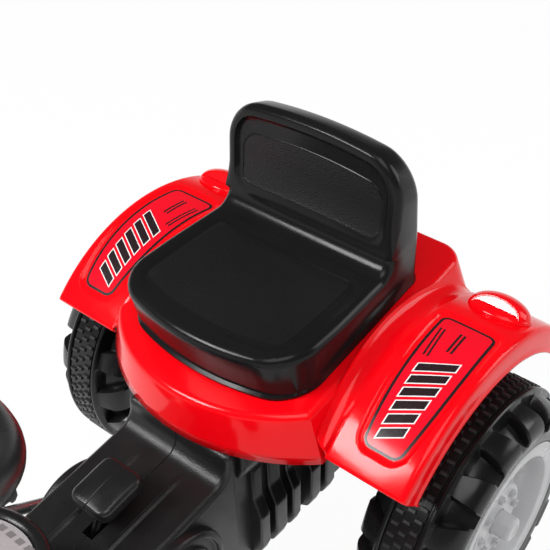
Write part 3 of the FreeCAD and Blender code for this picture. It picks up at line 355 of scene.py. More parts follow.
def add_to(mesh, extra):
    # Joins a second shape to a mesh
    part = bpy.data.meshes.new("part")
    extra.to_mesh(part)
    extra.free()
    mesh.from_mesh(part)
    bpy.data.meshes.remove(part)


def tunnel_top(y):
    return riser_foot[1] + tunnel_rise * (y - riser_foot[0])


for hand, side in (("left", 1), ("right", -1)):
    half = prism([(0.0, y, z) for y, z in side_line], (tunnel_half, 0.0, 0.0))
    bmesh.ops.delete(half, geom=[widest_face(half, (-1.0, 0.0, 0.0))], context="FACES_ONLY")
    for corner, size in corner_rounds:
        round_off(half, edges_between(half, corner, corner), size, 7)
    half.normal_update()
    round_off(half, list(widest_face(half, (1.0, 0.0, 0.0)).edges), cheek_round, 5)
    slice_up(half, 0, (*seam_lines, slot_half, *bead_lines))
    slice_up(half, 1, (slot_front, slot_rear, 0.084, 0.091, 0.098, 0.1235, 0.1262))
    for vert in half.verts:
        x, y, z = vert.co
        if bead_low < x < bead_high and bead_front < y < bead_rear + 0.0005 and abs(z - tunnel_top(y)) < 0.0010:
            vert.co.z += bead_lift * (1.0 - ease(y, bead_fade, bead_rear))
        if y > hip_front and x > 0.03:
            vert.co.x -= tunnel_half - hip_half
    half.normal_update()
    mouth = []
    for face in half.faces:
        x, y, z = face.calc_center_median()
        if x < slot_half and slot_front < y < slot_rear and abs(z - tunnel_top(y)) < 0.004:
            mouth.append(face)
    sunk = bmesh.ops.extrude_face_region(half, geom=mouth)
    bmesh.ops.translate(half, verts=made(sunk["geom"]), vec=(0.0, 0.0, -slot_deep))
    bmesh.ops.delete(half, geom=[face for face in mouth if face.is_valid], context="FACES_ONLY")
    inner = [f for f in half.faces if all(abs(v.co.x) < 0.00001 for v in f.verts)]
    bmesh.ops.delete(half, geom=inner, context="FACES_ONLY")
    half.normal_update()
    for vert in half.verts:
        if abs(vert.co.x) < 0.00001:
            vert.co -= Vector((0.0, vert.normal.y, vert.normal.z)).normalized() * seam_deep
    bmesh.ops.edgeloop_fill(half, edges=[edge for edge in half.edges if edge.is_boundary])
    boss = lathe(boss_rows, True, 72)
    move(boss, (0.0, crank_y, crank_z))
    add_to(half, boss)
    raised = [(rib_rows, place, rib_round, 3) for place in rib_places] + [(pad_rows, pad_place, pad_round, 4)]
    for rows, (start, end), size, steps in raised:
        rib = prism([(x, start, z) for x, z in rows], (0.0, end - start, 0.0))
        round_off(rib, [e for e in sharp_edges(rib, 20.0) if all(v.co.x > 0.06 for v in e.verts)], size, steps)
        add_to(half, rib)
    mirror(half, side)
    piece = make_piece(
        "chassis_" + hand + "_moulding", half, [chassis_black], "chassis", 24.0, flats=True)
    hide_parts("chassis_" + hand + "_half")
dress(chassis_black, "axle_spacer_left", "axle_spacer_right", "hitch")

# Tyres: hollow blow-moulded black plastic, one piece with the web behind the rim. A ribbed band
# runs between two smooth ridges, with slanted wedge lugs staggered on both sides of it.
tyre_black = moulded(
    "tyre_black", (0.0075, 0.0075, 0.0080), (0.0058, 0.0058, 0.0062), 0.25, grain=0.0012, depth=0.00005,
    haze=0.06, shine=0.34)
# The bars on the band get a lighter grey skin than the tyre: painted light, standing in for the lamp that falls on the
# band's top
band_painted_light = moulded(
    "band_painted_light", (0.024, 0.023, 0.024), (0.016, 0.015, 0.016), 0.42, grain=0.0012, depth=0.00005, haze=0.10)
wheels = (
    ("rear", "left", "rear_axle", 1), ("rear", "right", "right_rear_wheel", -1),
    ("front", "left", "front_left_wheel", 1), ("front", "right", "front_right_wheel", -1))
wheel_mids = {"rear": (0.207, 0.300, 0.138), "front": (0.166, -0.305, 0.100)}
wheel_radius = {"rear": 0.138, "front": 0.100}
wheel_half = {"rear": 0.050, "front": 0.033}
lug_counts, bar_counts, bolt_counts = {"rear": 16, "front": 14}, {"rear": 72, "front": 60}, {"rear": 8, "front": 6}
# Each row: lug x and radius, valley x and radius, as shares of half the width and of the radius
tread_rows = (
    (0.000, 0.977, 0.000, 0.977), (0.100, 0.977, 0.100, 0.977), (0.290, 0.976, 0.290, 0.976),
    (0.304, 0.966, 0.304, 0.966), (0.328, 0.966, 0.328, 0.966), (0.342, 0.980, 0.342, 0.980),
    (0.368, 0.987, 0.368, 0.987), (0.404, 0.987, 0.404, 0.987), (0.432, 0.980, 0.432, 0.980),
    (0.448, 0.962, 0.450, 0.945), (0.462, 0.950, 0.462, 0.885), (0.480, 0.946, 0.490, 0.866),
    (0.560, 0.937, 0.560, 0.856), (0.640, 0.928, 0.625, 0.844), (0.720, 0.917, 0.690, 0.830),
    (0.800, 0.903, 0.745, 0.815), (0.870, 0.884, 0.800, 0.800), (0.925, 0.862, 0.850, 0.788),
    (0.962, 0.836, 0.895, 0.779), (0.980, 0.810, 0.930, 0.773), (0.986, 0.788, 0.955, 0.769),
    (0.982, 0.770, 0.968, 0.766))
side_rows = ((0.970, 0.758), (0.962, 0.720), (0.952, 0.690), (0.940, 0.676), (0.915, 0.668), (0.860, 0.664))
outer_web = ((0.700, 0.655), (0.330, 0.630), (0.320, 0.200), (0.440, 0.180), (0.440, 0.046))
inner_web = (
    (0.620, 0.650), (0.300, 0.610), (0.200, 0.560), (0.160, 0.300), (0.200, 0.210), (0.440, 0.180), (0.440, 0.046))
lug_share, flank_start, flank_more, lug_slant = 0.25, 0.20, 0.14, 0.08
bar_size, bar_step, bar_r = (0.168, 0.030, 0.020), 0.196, 0.982


def scaled(rows, half, radius, side=1):
    # Rows of shares of half a width and of a radius, in metres
    return [(side * x * half, r * radius) for x, r in rows]


def repeat_round(mesh, count):
    # Copies of a shape set evenly round the X line
    bmesh.ops.spin(
        mesh, geom=everything(mesh), cent=(0.0, 0.0, 0.0), axis=(1.0, 0.0, 0.0),
        angle=2 * math.pi * (count - 1) / count, steps=count - 1, use_duplicate=True)


def set_down(mesh, end, side):
    # Mirrors a left-hand shape for the right side and moves it to its axle
    x, y, z = wheel_mids[end]
    mirror(mesh, side)
    move(mesh, (side * x, y, z))


def lug_form(vert, valley, half, pitch):
    # Sinks a corner of the plain tread into the valley beside a lug, or draws it to the lug's flank
    r = math.hypot(vert.co.y, vert.co.z)
    key = (round(abs(vert.co.x), 5), round(r, 5))
    if key not in valley:
        return
    along = min(1.0, max(0.0, (key[0] / half - 0.44) / 0.54))
    round_at = math.atan2(vert.co.y, vert.co.z)
    phase = (round_at / pitch + (0.5 if vert.co.x < 0 else 0.0)) % 1.0 - 0.5
    flank = flank_start + flank_more * along
    if abs(phase) < lug_share:
        drawn = phase * flank / lug_share
    else:
        drawn = math.copysign(0.5 - (0.5 - abs(phase)) * (0.5 - flank) / lug_share, phase)
    swing = (drawn - phase + lug_slant * along) * pitch + round_at
    on_lug = 1.0 - ease(abs(phase), lug_share, 0.30)
    low_x, low_r = valley[key]
    r = low_r + (r - low_r) * on_lug
    x = low_x + (key[0] - low_x) * on_lug
    vert.co = (math.copysign(x, vert.co.x), r * math.sin(swing), r * math.cos(swing))


for end, hand, body, side in wheels:
    half, radius, bars = wheel_half[end], wheel_radius[end], bar_counts[end]
    outer = [(x, r) for x, r, _, _ in tread_rows]
    section = scaled(outer[:0:-1], half, radius, -1) + scaled(outer + list(side_rows + outer_web), half, radius)
    section += scaled(inner_web[::-1] + side_rows[::-1], half, radius, -1)
    valley = {}
    for x, r, low_x, low_r in tread_rows:
        valley[round(x * half, 5), round(r * radius, 5)] = (low_x * half, low_r * radius)
    pitch = 2 * math.pi / lug_counts[end]
    tyre = lathe(section, True, 30, pitch)
    for vert in tyre.verts:
        lug_form(vert, valley, half, pitch)
    repeat_round(tyre, lug_counts[end])
    for row in (-1, 0, 1):
        block = bmesh.new()
        place = Matrix.Translation((row * bar_step * half, 0.0, bar_r * radius))
        size = Matrix.Diagonal((bar_size[0] * half, bar_size[1] * radius, bar_size[2] * radius, 1.0))
        bmesh.ops.create_cube(block, size=1.0, matrix=place @ size)
        top = [v for v in block.verts if v.co.z > 0.985 * radius]
        bmesh.ops.scale(block, verts=top, vec=(0.85, 0.72, 1.0), space=place.inverted())
        shift = Matrix.Rotation(math.pi / bars * (row % 2), 3, "X")
        bmesh.ops.rotate(block, verts=block.verts, cent=(0.0, 0.0, 0.0), matrix=shift)
        # The bars take the lighter grey band skin, which is painted light
        for face in block.faces:
            face.material_index = 1
        repeat_round(block, bars)
        add_to(tyre, block)
    set_down(tyre, end, side)
    node = end + "_tyre_" + hand
    piece = make_piece(node + "_moulding", tyre, [tyre_black, band_painted_light], body, 30.0)
    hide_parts(node)

# Rims: light grey moulded discs pressed into the tyres' outer faces, with a flat lip, a deep
# dish with curved pockets, and a ring of moulded bolt heads round the hub.
rim_grey = moulded("rim_grey", (0.50, 0.50, 0.51), (0.45, 0.45, 0.46), 0.30, grain=0.0018, depth=0.00003)
rim_rows = [
    (0.860, 0.664), (0.940, 0.668), (0.958, 0.662), (0.962, 0.652), (0.950, 0.643), (0.936, 0.636), (0.930, 0.600),
    (0.922, 0.562), (0.905, 0.549), (0.860, 0.541), (0.720, 0.526), (0.600, 0.514), (0.545, 0.505), (0.512, 0.492)]
rim_rows += [(0.500 + 0.0004 * i * i, 0.480 - 0.0145 * i) for i in range(11)]
rim_rows += [
    (0.560, 0.318), (0.620, 0.306), (0.690, 0.296), (0.716, 0.286), (0.720, 0.270), (0.720, 0.100), (0.600, 0.100)]
pockets, pocket_r, pocket_share, pocket_tall, pocket_deep, pocket_sweep = 6, 0.412, 0.34, 0.052, 0.100, 1.6
bolt_x, bolt_ring, bolt_foot, bolt_top, bolt_tall = 0.745, 0.225, 0.034, 0.030, 0.11

for end, hand, body, side in wheels:
    half, radius, bolts = wheel_half[end], wheel_radius[end], bolt_counts[end]
    disc = lathe(scaled(rim_rows, half, radius), False, 180)
    for vert in disc.verts:
        r = math.hypot(vert.co.y, vert.co.z) / radius
        turn = math.atan2(vert.co.y, vert.co.z)
        phase = (turn / (2 * math.pi) * pockets + pocket_sweep * (r - 0.41)) % 1.0 - 0.5
        away = max((abs(phase) - pocket_share) * 2 * math.pi * r / pockets, abs(r - pocket_r) - pocket_tall)
        vert.co.x -= pocket_deep * half * (1.0 - ease(away, -0.012, 0.010))
    for i in range(bolts):
        place = Matrix.Translation((bolt_x * half, 0.0, bolt_ring * radius)) @ Matrix.Rotation(math.pi / 2, 4, "Y")
        bolt = bmesh.ops.create_cone(
            disc, cap_ends=True, segments=12, radius1=bolt_foot * radius, radius2=bolt_top * radius,
            depth=bolt_tall * half, matrix=Matrix.Rotation(2 * math.pi * i / bolts, 4, "X") @ place)
        lids = {f for v in bolt["verts"] for f in v.link_faces if len(f.verts) == 12}
        outer = max(lids, key=lambda f: f.calc_center_median().x)
        bmesh.ops.inset_region(disc, faces=[outer], thickness=0.010 * radius, depth=0.0)
        bmesh.ops.inset_region(disc, faces=[outer], thickness=0.002 * radius, depth=-0.050 * half)
    set_down(disc, end, side)
    node = end + "_rim_" + hand
    piece = make_piece(node + "_disc", disc, [rim_grey], body, 34.0, outward=False)
    if side < 0:
        piece.data.flip_normals()
    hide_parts(node)

# Axle caps: small grey polyethylene caps with a rounded rim and a sunken middle. They push on
# over the ends of the axles and hide the nuts.
cap_side = ((0.50, 0.0130), (1.02, 0.0128), (1.065, 0.0124), (1.09, 0.0114), (1.10, 0.0100))
cap_face = ((1.10, 0.0070), (1.085, 0.0064), (1.085, 0.0005))

for end, hand, body, side in wheels:
    cap = lathe(scaled(cap_side + cap_face, wheel_half[end], 1.0), False, 48)
    set_down(cap, end, side)
    node = end + "_cap_" + hand
    piece = make_piece(node + "_push_on", cap, [rim_grey], body, 40.0)
    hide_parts(node)

# Pedals: solid black polypropylene blocks with rounded grip bars across both faces, bored for
# the crank's ends. The crank turns them on its pins, and push-on nuts hold them.
pedal_black = moulded(
    "pedal_black", (0.013, 0.013, 0.014), (0.010, 0.010, 0.011), 0.42, grain=0.0010, depth=0.0004,
    haze=0.06, shine=0.40)
crank_turn, crank_throw = math.radians(-20.0), 0.070
pedal_inner, pedal_run, pedal_half, pedal_tall, pedal_edge, pedal_slope = 0.110, 0.058, 0.031, 0.011, 0.006, 0.004
groove_count, groove_deep, groove_half, groove_lean = 4, 0.004, 0.0035, 0.0008

for hand, side in (("left", 1), ("right", -1)):
    pin_y = crank_y + side * crank_throw * math.cos(crank_turn)
    pin_z = crank_z + side * crank_throw * math.sin(crank_turn)
    face = [(-pedal_half, pedal_edge), (-pedal_half + pedal_slope, pedal_tall)]
    for i in range(groove_count):
        y = -pedal_half + 2 * pedal_half * (i + 1) / (groove_count + 1)
        low = pedal_tall - groove_deep
        face += [(y - groove_half - groove_lean, pedal_tall), (y - groove_half + groove_lean, low)]
        face += [(y + groove_half - groove_lean, low), (y + groove_half + groove_lean, pedal_tall)]
    face += [(pedal_half - pedal_slope, pedal_tall), (pedal_half, pedal_edge)]
    face += [(y, -z) for y, z in face[::-1]]
    pedal = prism([(side * pedal_inner, pin_y + y, pin_z + z) for y, z in face], (side * pedal_run, 0.0, 0.0))
    round_off(pedal, sharp_edges(pedal, 25.0), 0.0011, 2)
    piece = make_piece("pedal_" + hand + "_block", pedal, [pedal_black], hand + "_pedal", 34.0)
    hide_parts("pedal_" + hand)
dress(zinc_steel, "pedal_retainers")

# Steering column and front axle: a zinc-plated rod with a bent foot works the tie rod. Enamelled
# steel beam, forked knuckles and tie rod hang under the chassis on two posts.
black_steel = plated(
    "black_enamelled_steel", (0.050, 0.050, 0.052), (0.035, 0.035, 0.037), 0.34, (400.0, 400.0, 60.0))
column_tilt, wheel_mid = -23.5, Vector((0.0, -0.152, 0.463))
column_up = Matrix.Rotation(math.radians(column_tilt), 3, "X") @ Vector((0.0, 0.0, 1.0))
dress(zinc_steel, "steering_shaft", "kingpin_left", "kingpin_right")
dress(nylon_white, "steering_bush")
dress(black_steel, "front_axle_beam", "knuckle_left", "knuckle_right", "tie_rod")

# Gear lever: an enamelled rod on a cross pin between two bracket plates, with a hollow pillow-shaped
# knob of satin black plastic pressed on. A fine moulding line runs down the knob's middle.
trim_black = moulded(
    "satin_black_trim", (0.0120, 0.0118, 0.0122), (0.0095, 0.0093, 0.0096), 0.30, grain=0.0014, depth=0.0002,
    haze=0.06, shine=0.42)
knob_half_x, knob_half_y, knob_half_z, knob_round = 0.021, 0.024, 0.010, 0.0095
knob_mid, knob_tip, knob_seam = (0.0, 0.033, 0.246), 10.0, 0.0004
knob_lines = (0.017, 0.012, 0.007, 0.002, 0.0010, 0.0005)
knob_widest, knob_draft, knob_crown, knob_belly = 1.08, 0.10, 0.0038, -0.0020


def edges_along(mesh, axis, reach):
    # Edges that run further than reach along an axis
    return [e for e in mesh.edges if abs(e.verts[0].co[axis] - e.verts[1].co[axis]) > reach]


def turn_round(mesh, degrees, axis):
    bmesh.ops.rotate(
        mesh, verts=mesh.verts, cent=(0.0, 0.0, 0.0), matrix=Matrix.Rotation(math.radians(degrees), 3, axis))


dress(black_steel, "lever_stem", "lever_pin", "lever_bracket")
knob = bmesh.new()
bmesh.ops.create_cube(knob, size=2.0)
bmesh.ops.scale(knob, verts=knob.verts, vec=(knob_half_x, knob_half_y, knob_half_z))
round_off(knob, edges_along(knob, 2, 0.001), knob_round, 7)
for facing, size in ((1.0, 0.0040), (-1.0, 0.0075)):
    round_off(knob, list(widest_face(knob, (0.0, 0.0, facing), -1.0).edges), size, 5)
    knob.normal_update()
slice_up(knob, 0, [-x for x in knob_lines] + [0.0] + list(knob_lines[::-1]))
slice_up(knob, 1, [0.0035 * i for i in range(-6, 7)])
knob.normal_update()
for vert in knob.verts:
    x, y, z = vert.co
    if abs(x) < 0.0001:
        vert.co -= vert.normal * knob_seam
    dome = max(0.0, 1.0 - (x / knob_half_x) ** 2) * max(0.0, 1.0 - (y / knob_half_y) ** 2)
    drawn = knob_widest - knob_draft * ease(-z, -0.002, knob_half_z)
    vert.co.x *= drawn
    vert.co.y *= drawn
    vert.co.z += (knob_crown if z > 0.0 else knob_belly) * dome
turn_round(knob, knob_tip, "X")
move(knob, knob_mid)
knob_piece = make_piece("lever_knob_pillow", knob, [trim_black], "gear_lever", 40.0)
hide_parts("lever_knob")

# Dashboard: a black moulded cover with a rolled bead round its sunken top and a ribbed boot for
# the column. It sits on the chassis behind the hood and carries a pale printed label.
dash_rise, dash_rear, dash_front, dash_waist = 0.260, -0.042, -0.2455, -0.140
dash_low_z, dash_high_z, dash_round, dash_sweep, dash_bow = 0.204, 0.281, 0.060, 66.0, 0.064
dash_waist_half, dash_half, bead_round, boot_foot_z = 0.0668, 0.0680, 0.0042, 0.348
boot_folds, boot_fold, boot_start, boot_r, boot_shrink = 6, 0.0058, -0.040, 0.0232, 0.0017
boot_wave = ((0.0, 0.0), (0.0016, 0.0014), (0.0030, 0.0006), (0.0042, -0.0022))


def dash_top(y):
    return dash_high_z + dash_rise * (dash_rear - y)


def step_in(mesh, face, *steps):
    # Insets a face in steps, each with its width and its depth
    for width, depth in steps:
        bmesh.ops.inset_region(mesh, faces=[face], thickness=width, depth=depth, use_even_offset=True)


dash_plan = []
for i in range(25):
    swing = math.radians(dash_sweep * (i / 12 - 1.0))
    dash_plan.append((dash_bow * math.sin(swing), dash_rear - dash_round + dash_round * math.cos(swing)))
dash_plan += [(dash_waist_half, dash_waist), (dash_half, dash_front), (-dash_half, dash_front)]
dash_plan.append((-dash_waist_half, dash_waist))
dash = prism([(x, y, dash_low_z) for x, y in dash_plan], (0.0, 0.0, 0.1))
for vert in dash.verts:
    if vert.co.z > 0.25:
        vert.co.z = dash_top(vert.co.y)
dash.normal_update()
top = widest_face(dash, (0.0, 0.26, 0.96), 0.25)
step_in(dash, top, (0.0092, 0.0), (0.0016, -0.0034))
dash.normal_update()
bead = [e for e in sharp_edges(dash, 40.0) if min(v.co.z - dash_top(v.co.y) for v in e.verts) > -0.002]
round_off(dash, bead, bead_round, 5)
upright = edges_along(dash, 2, 0.03)
round_off(dash, [e for e in sharp_edges(dash, 5.0) if e in upright], 0.0015, 2)
boot_rows = [(-0.044, 0.0250)]
for i in range(boot_folds):
    x, r = boot_start + boot_fold * i, boot_r - boot_shrink * i
    boot_rows += [(x + along, r + out) for along, out in boot_wave]
boot_rows += [(-0.0040, 0.0130), (-0.0020, 0.0110), (-0.0020, 0.0074)]
boot = lathe(boot_rows, False, 48)
turn_round(boot, -90.0, "Y")
turn_round(boot, column_tilt, "X")
move(boot, wheel_mid - column_up * ((wheel_mid.z - boot_foot_z) / column_up.z))
add_to(dash, boot)
dash_piece = make_piece("dashboard_cover", dash, [trim_black], "chassis", 38.0, flats=True)
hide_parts("dashboard")

# Dashboard label: a pale printed vinyl film in the sunken top, stuck down, with two plain dials,
# tick marks and a row of small lamp squares.
label_pale = moulded(
    "label_pale", (0.52, 0.48, 0.49), (0.46, 0.42, 0.43), 0.28, grain=0.0040, depth=0.00001, haze=0.03)
label_grey = moulded(
    "label_grey", (0.27, 0.245, 0.25), (0.23, 0.205, 0.21), 0.28, grain=0.0040, depth=0.00001, haze=0.03)
pale, grey = 0, 1
label_share, label_set, label_front, label_half, label_drop = 0.80, 0.0130, -0.150, 0.052, 0.0036
dial_x, dial_y, dial_rings = 0.024, -0.094, ((0.0175, grey, 0.0002), (0.0160, pale, 0.0003))
tick_in, tick_out, tick_half = 0.0115, 0.0148, 0.0005
hand_outline = ((-0.0012, -0.003), (0.0012, -0.003), (0.0004, 0.0105), (-0.0004, 0.0105))
square_step, square_half, square_low, square_high = 0.011, 0.0035, -0.066, -0.060


def print_shape(mesh, corners, lift, skin, trim=0.0, trim_skin=0):
    # A flat printed shape, with an outline of another ink where it has one
    shape = mesh.faces.new([mesh.verts.new((a, c, lift)) for a, c in corners])
    shape.material_index = skin
    if trim:
        ring = bmesh.ops.inset_region(
            mesh, faces=[shape], thickness=trim, depth=0.0, use_boundary=True, use_even_offset=True)
        for face in ring["faces"]:
            face.material_index = trim_skin


label = bmesh.new()
label_outline = []
for x, y in dash_plan[:25]:
    label_outline.append((x * label_share, dash_rear - label_set + (y - dash_rear) * label_share))
label_outline += [(label_half, label_front), (-label_half, label_front)]
print_shape(label, label_outline, 0.0001, pale, 0.0022, grey)
for mid in (-dial_x, dial_x):
    for reach, skin, lift in dial_rings:
        turns = [i * math.pi / 16 for i in range(32)]
        dial = [(mid + reach * math.cos(turn), dial_y + reach * math.sin(turn)) for turn in turns]
        print_shape(label, dial, lift, skin)
    for i in range(9):
        turn = math.radians(-30.0 + 30.0 * i)
        along = Vector((math.cos(turn), math.sin(turn)))
        beside = Vector((-along.y, along.x)) * tick_half
        start, end = along * tick_in, along * tick_out
        tick = (start - beside, end - beside, end + beside, start + beside)
        print_shape(label, [(mid + p.x, dial_y + p.y) for p in tick], 0.0004, grey)
    pointer = [(mid + x * 0.8 - y * 0.6, dial_y + x * 0.6 + y * 0.8) for x, y in hand_outline]
    print_shape(label, pointer, 0.0005, grey)
for i in range(5):
    left, right = square_step * (i - 2) - square_half, square_step * (i - 2) + square_half
    square = ((left, square_low), (right, square_low), (right, square_high), (left, square_high))
    print_shape(label, square, 0.0002, grey, 0.0009, pale)
for vert in label.verts:
    vert.co.z += dash_top(vert.co.y) - label_drop
make_piece("dashboard_label", label, [label_pale, label_grey], "chassis", 60.0, outward=False)

# Steering wheel: one moulding of satin black plastic with a fat grip rim, finger waves under it,
# three dished spokes and a hub pressed on the column. A domed cap hides the column's nut.
grip_r, grip_tube, grip_waves, wave_deep = 0.097, 0.0142, 36, 0.0016
hub_rows = (
    (-0.022, 0.0072), (-0.022, 0.0270), (-0.0205, 0.0290), (-0.018, 0.0300), (-0.0095, 0.0300), (-0.0072, 0.0292),
    (-0.0060, 0.0272), (-0.0062, 0.0252), (-0.0080, 0.0246), (-0.0080, 0.0072))
cap_rows = (
    (-0.0075, 0.0240), (-0.0035, 0.0238), (-0.0020, 0.0228), (-0.0012, 0.0210), (-0.0010, 0.0186), (-0.0018, 0.0180),
    (-0.0018, 0.0170), (-0.0008, 0.0164), (0.0002, 0.0120), (0.0007, 0.0060), (0.0009, 0.0004))
spoke_mid, spoke_size, spoke_dish, spoke_round = (-0.0105, 0.059, 0.0), (0.009, 0.070, 0.026, 1.0), 0.0105, 0.0036


def set_on_column(mesh):
    # Turns a shape made round the X line to stand on the column, tipped back to the driver
    turn_round(mesh, -90.0, "Y")
    turn_round(mesh, column_tilt, "X")
    move(mesh, wheel_mid)


grip_rows = []
for i in range(24):
    turn = 2 * math.pi * i / 24
    grip_rows.append((grip_tube * math.sin(turn), grip_r + grip_tube * math.cos(turn)))
wheel = lathe(grip_rows, True, 144)
for vert in wheel.verts:
    turn = math.atan2(vert.co.y, vert.co.z)
    under = ease(-vert.co.x, -0.002, 0.008)
    vert.co.x += wave_deep * under * (0.5 - 0.5 * math.cos(grip_waves * turn))
add_to(wheel, lathe(hub_rows, True, 64))
spoke = bmesh.new()
bmesh.ops.create_cube(spoke, size=1.0, matrix=Matrix.Translation(spoke_mid) @ Matrix.Diagonal(spoke_size))
round_off(spoke, edges_along(spoke, 1, 0.01), spoke_round, 4)
slice_up(spoke, 1, [0.030 + 0.006 * i for i in range(11)])
for vert in spoke.verts:
    share = ease(vert.co.y, 0.030, 0.088)
    vert.co.x += spoke_dish * share
    vert.co.z *= 1.16 - 0.30 * share + 0.22 * ease(vert.co.y, 0.078, 0.094)
repeat_round(spoke, 3)
add_to(wheel, spoke)
set_on_column(wheel)
wheel_piece = make_piece("steering_wheel_moulding", wheel, [trim_black], "steering", 38.0)
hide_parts("steering_wheel")
wheel_cap = lathe(cap_rows, False, 64)
set_on_column(wheel_cap)
cap_piece = make_piece("steering_cap_dome", wheel_cap, [trim_black], "steering", 38.0)
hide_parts("steering_cap")

# Hood: a red blow-moulded cover from the dashboard to the grille, with a raised panel on top,
# screwed to the chassis at both sides. Black louvre plates are pressed into its sides.
body_red = moulded(
    "glossy_red", (0.86, 0.0015, 0.006), (0.80, 0.0012, 0.005), 0.13, grain=0.0035, depth=0.00002,
    haze=0.03, shine=0.24)
hood_half, hood_low, hood_high, hood_nose_high, hood_run = 0.068, 0.196, 0.334, 0.312, 0.2205
hood_round, nose_round, nose_share = 0.026, 0.009, 0.991
louvre_x, louvre_thick, louvre_round = 0.0672, 0.0026, 0.008
louvre_outline = ((-0.300, 0.236), (-0.402, 0.236), (-0.388, 0.292), (-0.300, 0.296))
blade_count, blade_first, blade_step, blade_low, blade_tall, blade_less = 5, -0.313, 0.0158, 0.245, 0.040, 0.0008
blade_outline = ((0.0690, 0.0), (0.0722, -0.0035), (0.0690, -0.0115))


def box_outline(half, low, high):
    return (-half, low), (half, low), (half, high), (-half, high)


hood = prism(
    [(x, dash_front, z) for x, z in box_outline(hood_half, hood_low, hood_high)], (0.0, -hood_run, 0.0))
for vert in hood.verts:
    if vert.co.y < -0.4:
        vert.co.x *= nose_share
        if vert.co.z > 0.3:
            vert.co.z = hood_nose_high
hood.normal_update()
round_off(hood, [e for e in edges_along(hood, 1, 0.1) if e.verts[0].co.z > 0.3], hood_round, 9)
nose = widest_face(hood, (0.0, -1.0, 0.0))
round_off(hood, [e for e in nose.edges if max(v.co.z for v in e.verts) > 0.2], nose_round, 5)
hood.normal_update()
lid = widest_face(hood, (0.0, -0.1, 1.0), 0.3)
step_in(hood, lid, (0.0060, 0.0), (0.0030, 0.0022))
round_off(hood, list(lid.edges), 0.0015, 3)
hood_piece = make_piece("hood_moulding", hood, [body_red], "chassis", 34.0, flats=True)
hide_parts("hood")
for hand, side in (("left", 1), ("right", -1)):
    plate = prism([(louvre_x, y, z) for y, z in louvre_outline], (louvre_thick, 0.0, 0.0))
    round_off(plate, edges_along(plate, 0, 0.001), louvre_round, 5)
    plate.normal_update()
    round_off(plate, list(widest_face(plate, (1.0, 0.0, 0.0)).edges), 0.0008, 2)
    for i in range(blade_count):
        y = blade_first - blade_step * i
        blade = prism([(x, y + back, 0.0) for x, back in blade_outline], (0.0, 0.0, blade_tall - blade_less * i))
        move(blade, (0.0, 0.0, blade_low))
        round_off(blade, sharp_edges(blade, 25.0), 0.0007, 2)
        add_to(plate, blade)
    mirror(plate, side)
    make_piece("hood_louvre_" + hand, plate, [trim_black], "chassis", 34.0)

# Grille and headlights: a black moulded grille with level bars and two lamp rings pushed into the
# hood's nose. The lamps are fluted clear caps over a silver dish.
lamp_clear = moulded(
    "lamp_clear", (0.80, 0.81, 0.83), (0.70, 0.71, 0.73), 0.08, grain=0.0016, depth=0.0004, haze=0.03, shine=0.7)
lamp_x, lamp_z, grille_back, grille_y = 0.036, 0.276, -0.466, -0.476
grille_half, grille_low, grille_high, grille_round = 0.050, 0.214, 0.296, 0.008
gap_half, gap_first, gap_step, gap_tall, gap_deep = 0.0425, 0.2200, 0.0076, 0.0046, 0.0045
lamp_ring = (
    (0.0, 0.0128), (0.0, 0.0172), (0.0022, 0.0172), (0.0034, 0.0166), (0.0040, 0.0154), (0.0038, 0.0142),
    (0.0028, 0.0132), (0.0020, 0.0128))
lamp_rows = (
    (-0.004, 0.0127), (0.0020, 0.0127), (0.0026, 0.0120), (0.0034, 0.0100), (0.0040, 0.0075), (0.0043, 0.0040),
    (0.0044, 0.0004))
flute_r, flute_deep, flute_pitch = 0.0115, 0.0004, 0.0034

grille_outline = box_outline(grille_half, grille_low, grille_high)
grille = prism([(x, grille_back, z) for x, z in grille_outline], (0.0, grille_y - grille_back, 0.0))
round_off(grille, edges_along(grille, 1, 0.004), grille_round, 5)
grille.normal_update()
round_off(grille, list(widest_face(grille, (0.0, -1.0, 0.0)).edges), 0.0018, 3)
slice_up(grille, 0, (-gap_half, gap_half))
gaps = [(gap_first + gap_step * i, gap_first + gap_step * i + gap_tall) for i in range(5)]
slice_up(grille, 2, [level for gap in gaps for level in gap])
grille.normal_update()
for low, high in gaps:
    for face in list(grille.faces):
        mid = face.calc_center_median()
        if abs(mid.x) < 0.042 and low < mid.z < high and face.normal.y < -0.9:
            bmesh.ops.inset_region(grille, faces=[face], thickness=0.0005, depth=-gap_deep)
for hand, side in (("left", 1), ("right", -1)):
    bezel = lathe(lamp_ring, True, 48)
    cover = lathe(lamp_rows, False, 60)
    for vert in cover.verts:
        if math.hypot(vert.co.y, vert.co.z) < flute_r:
            vert.co.x += flute_deep * math.cos(vert.co.y * 2 * math.pi / flute_pitch)
    for part in (bezel, cover):
        turn_round(part, -90.0, "Z")
        move(part, (side * lamp_x, grille_y, lamp_z))
    add_to(grille, bezel)
    cover_piece = make_piece("headlight_cover_" + hand, cover, [lamp_clear], "chassis", 40.0)
    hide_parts("headlight_" + hand)
grille_piece = make_piece("grille_bars", grille, [trim_black], "chassis", 30.0)
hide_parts("grille")

# Front bumper: a hollow black bar blow-moulded in polyethylene, with a sunken band along its
# face, screwed across the chassis nose.
bumper_half, bumper_back, bumper_front, bumper_low, bumper_tall = 0.070, -0.430, -0.490, 0.146, 0.050
bumper_corner, bumper_edge = 0.016, 0.0055

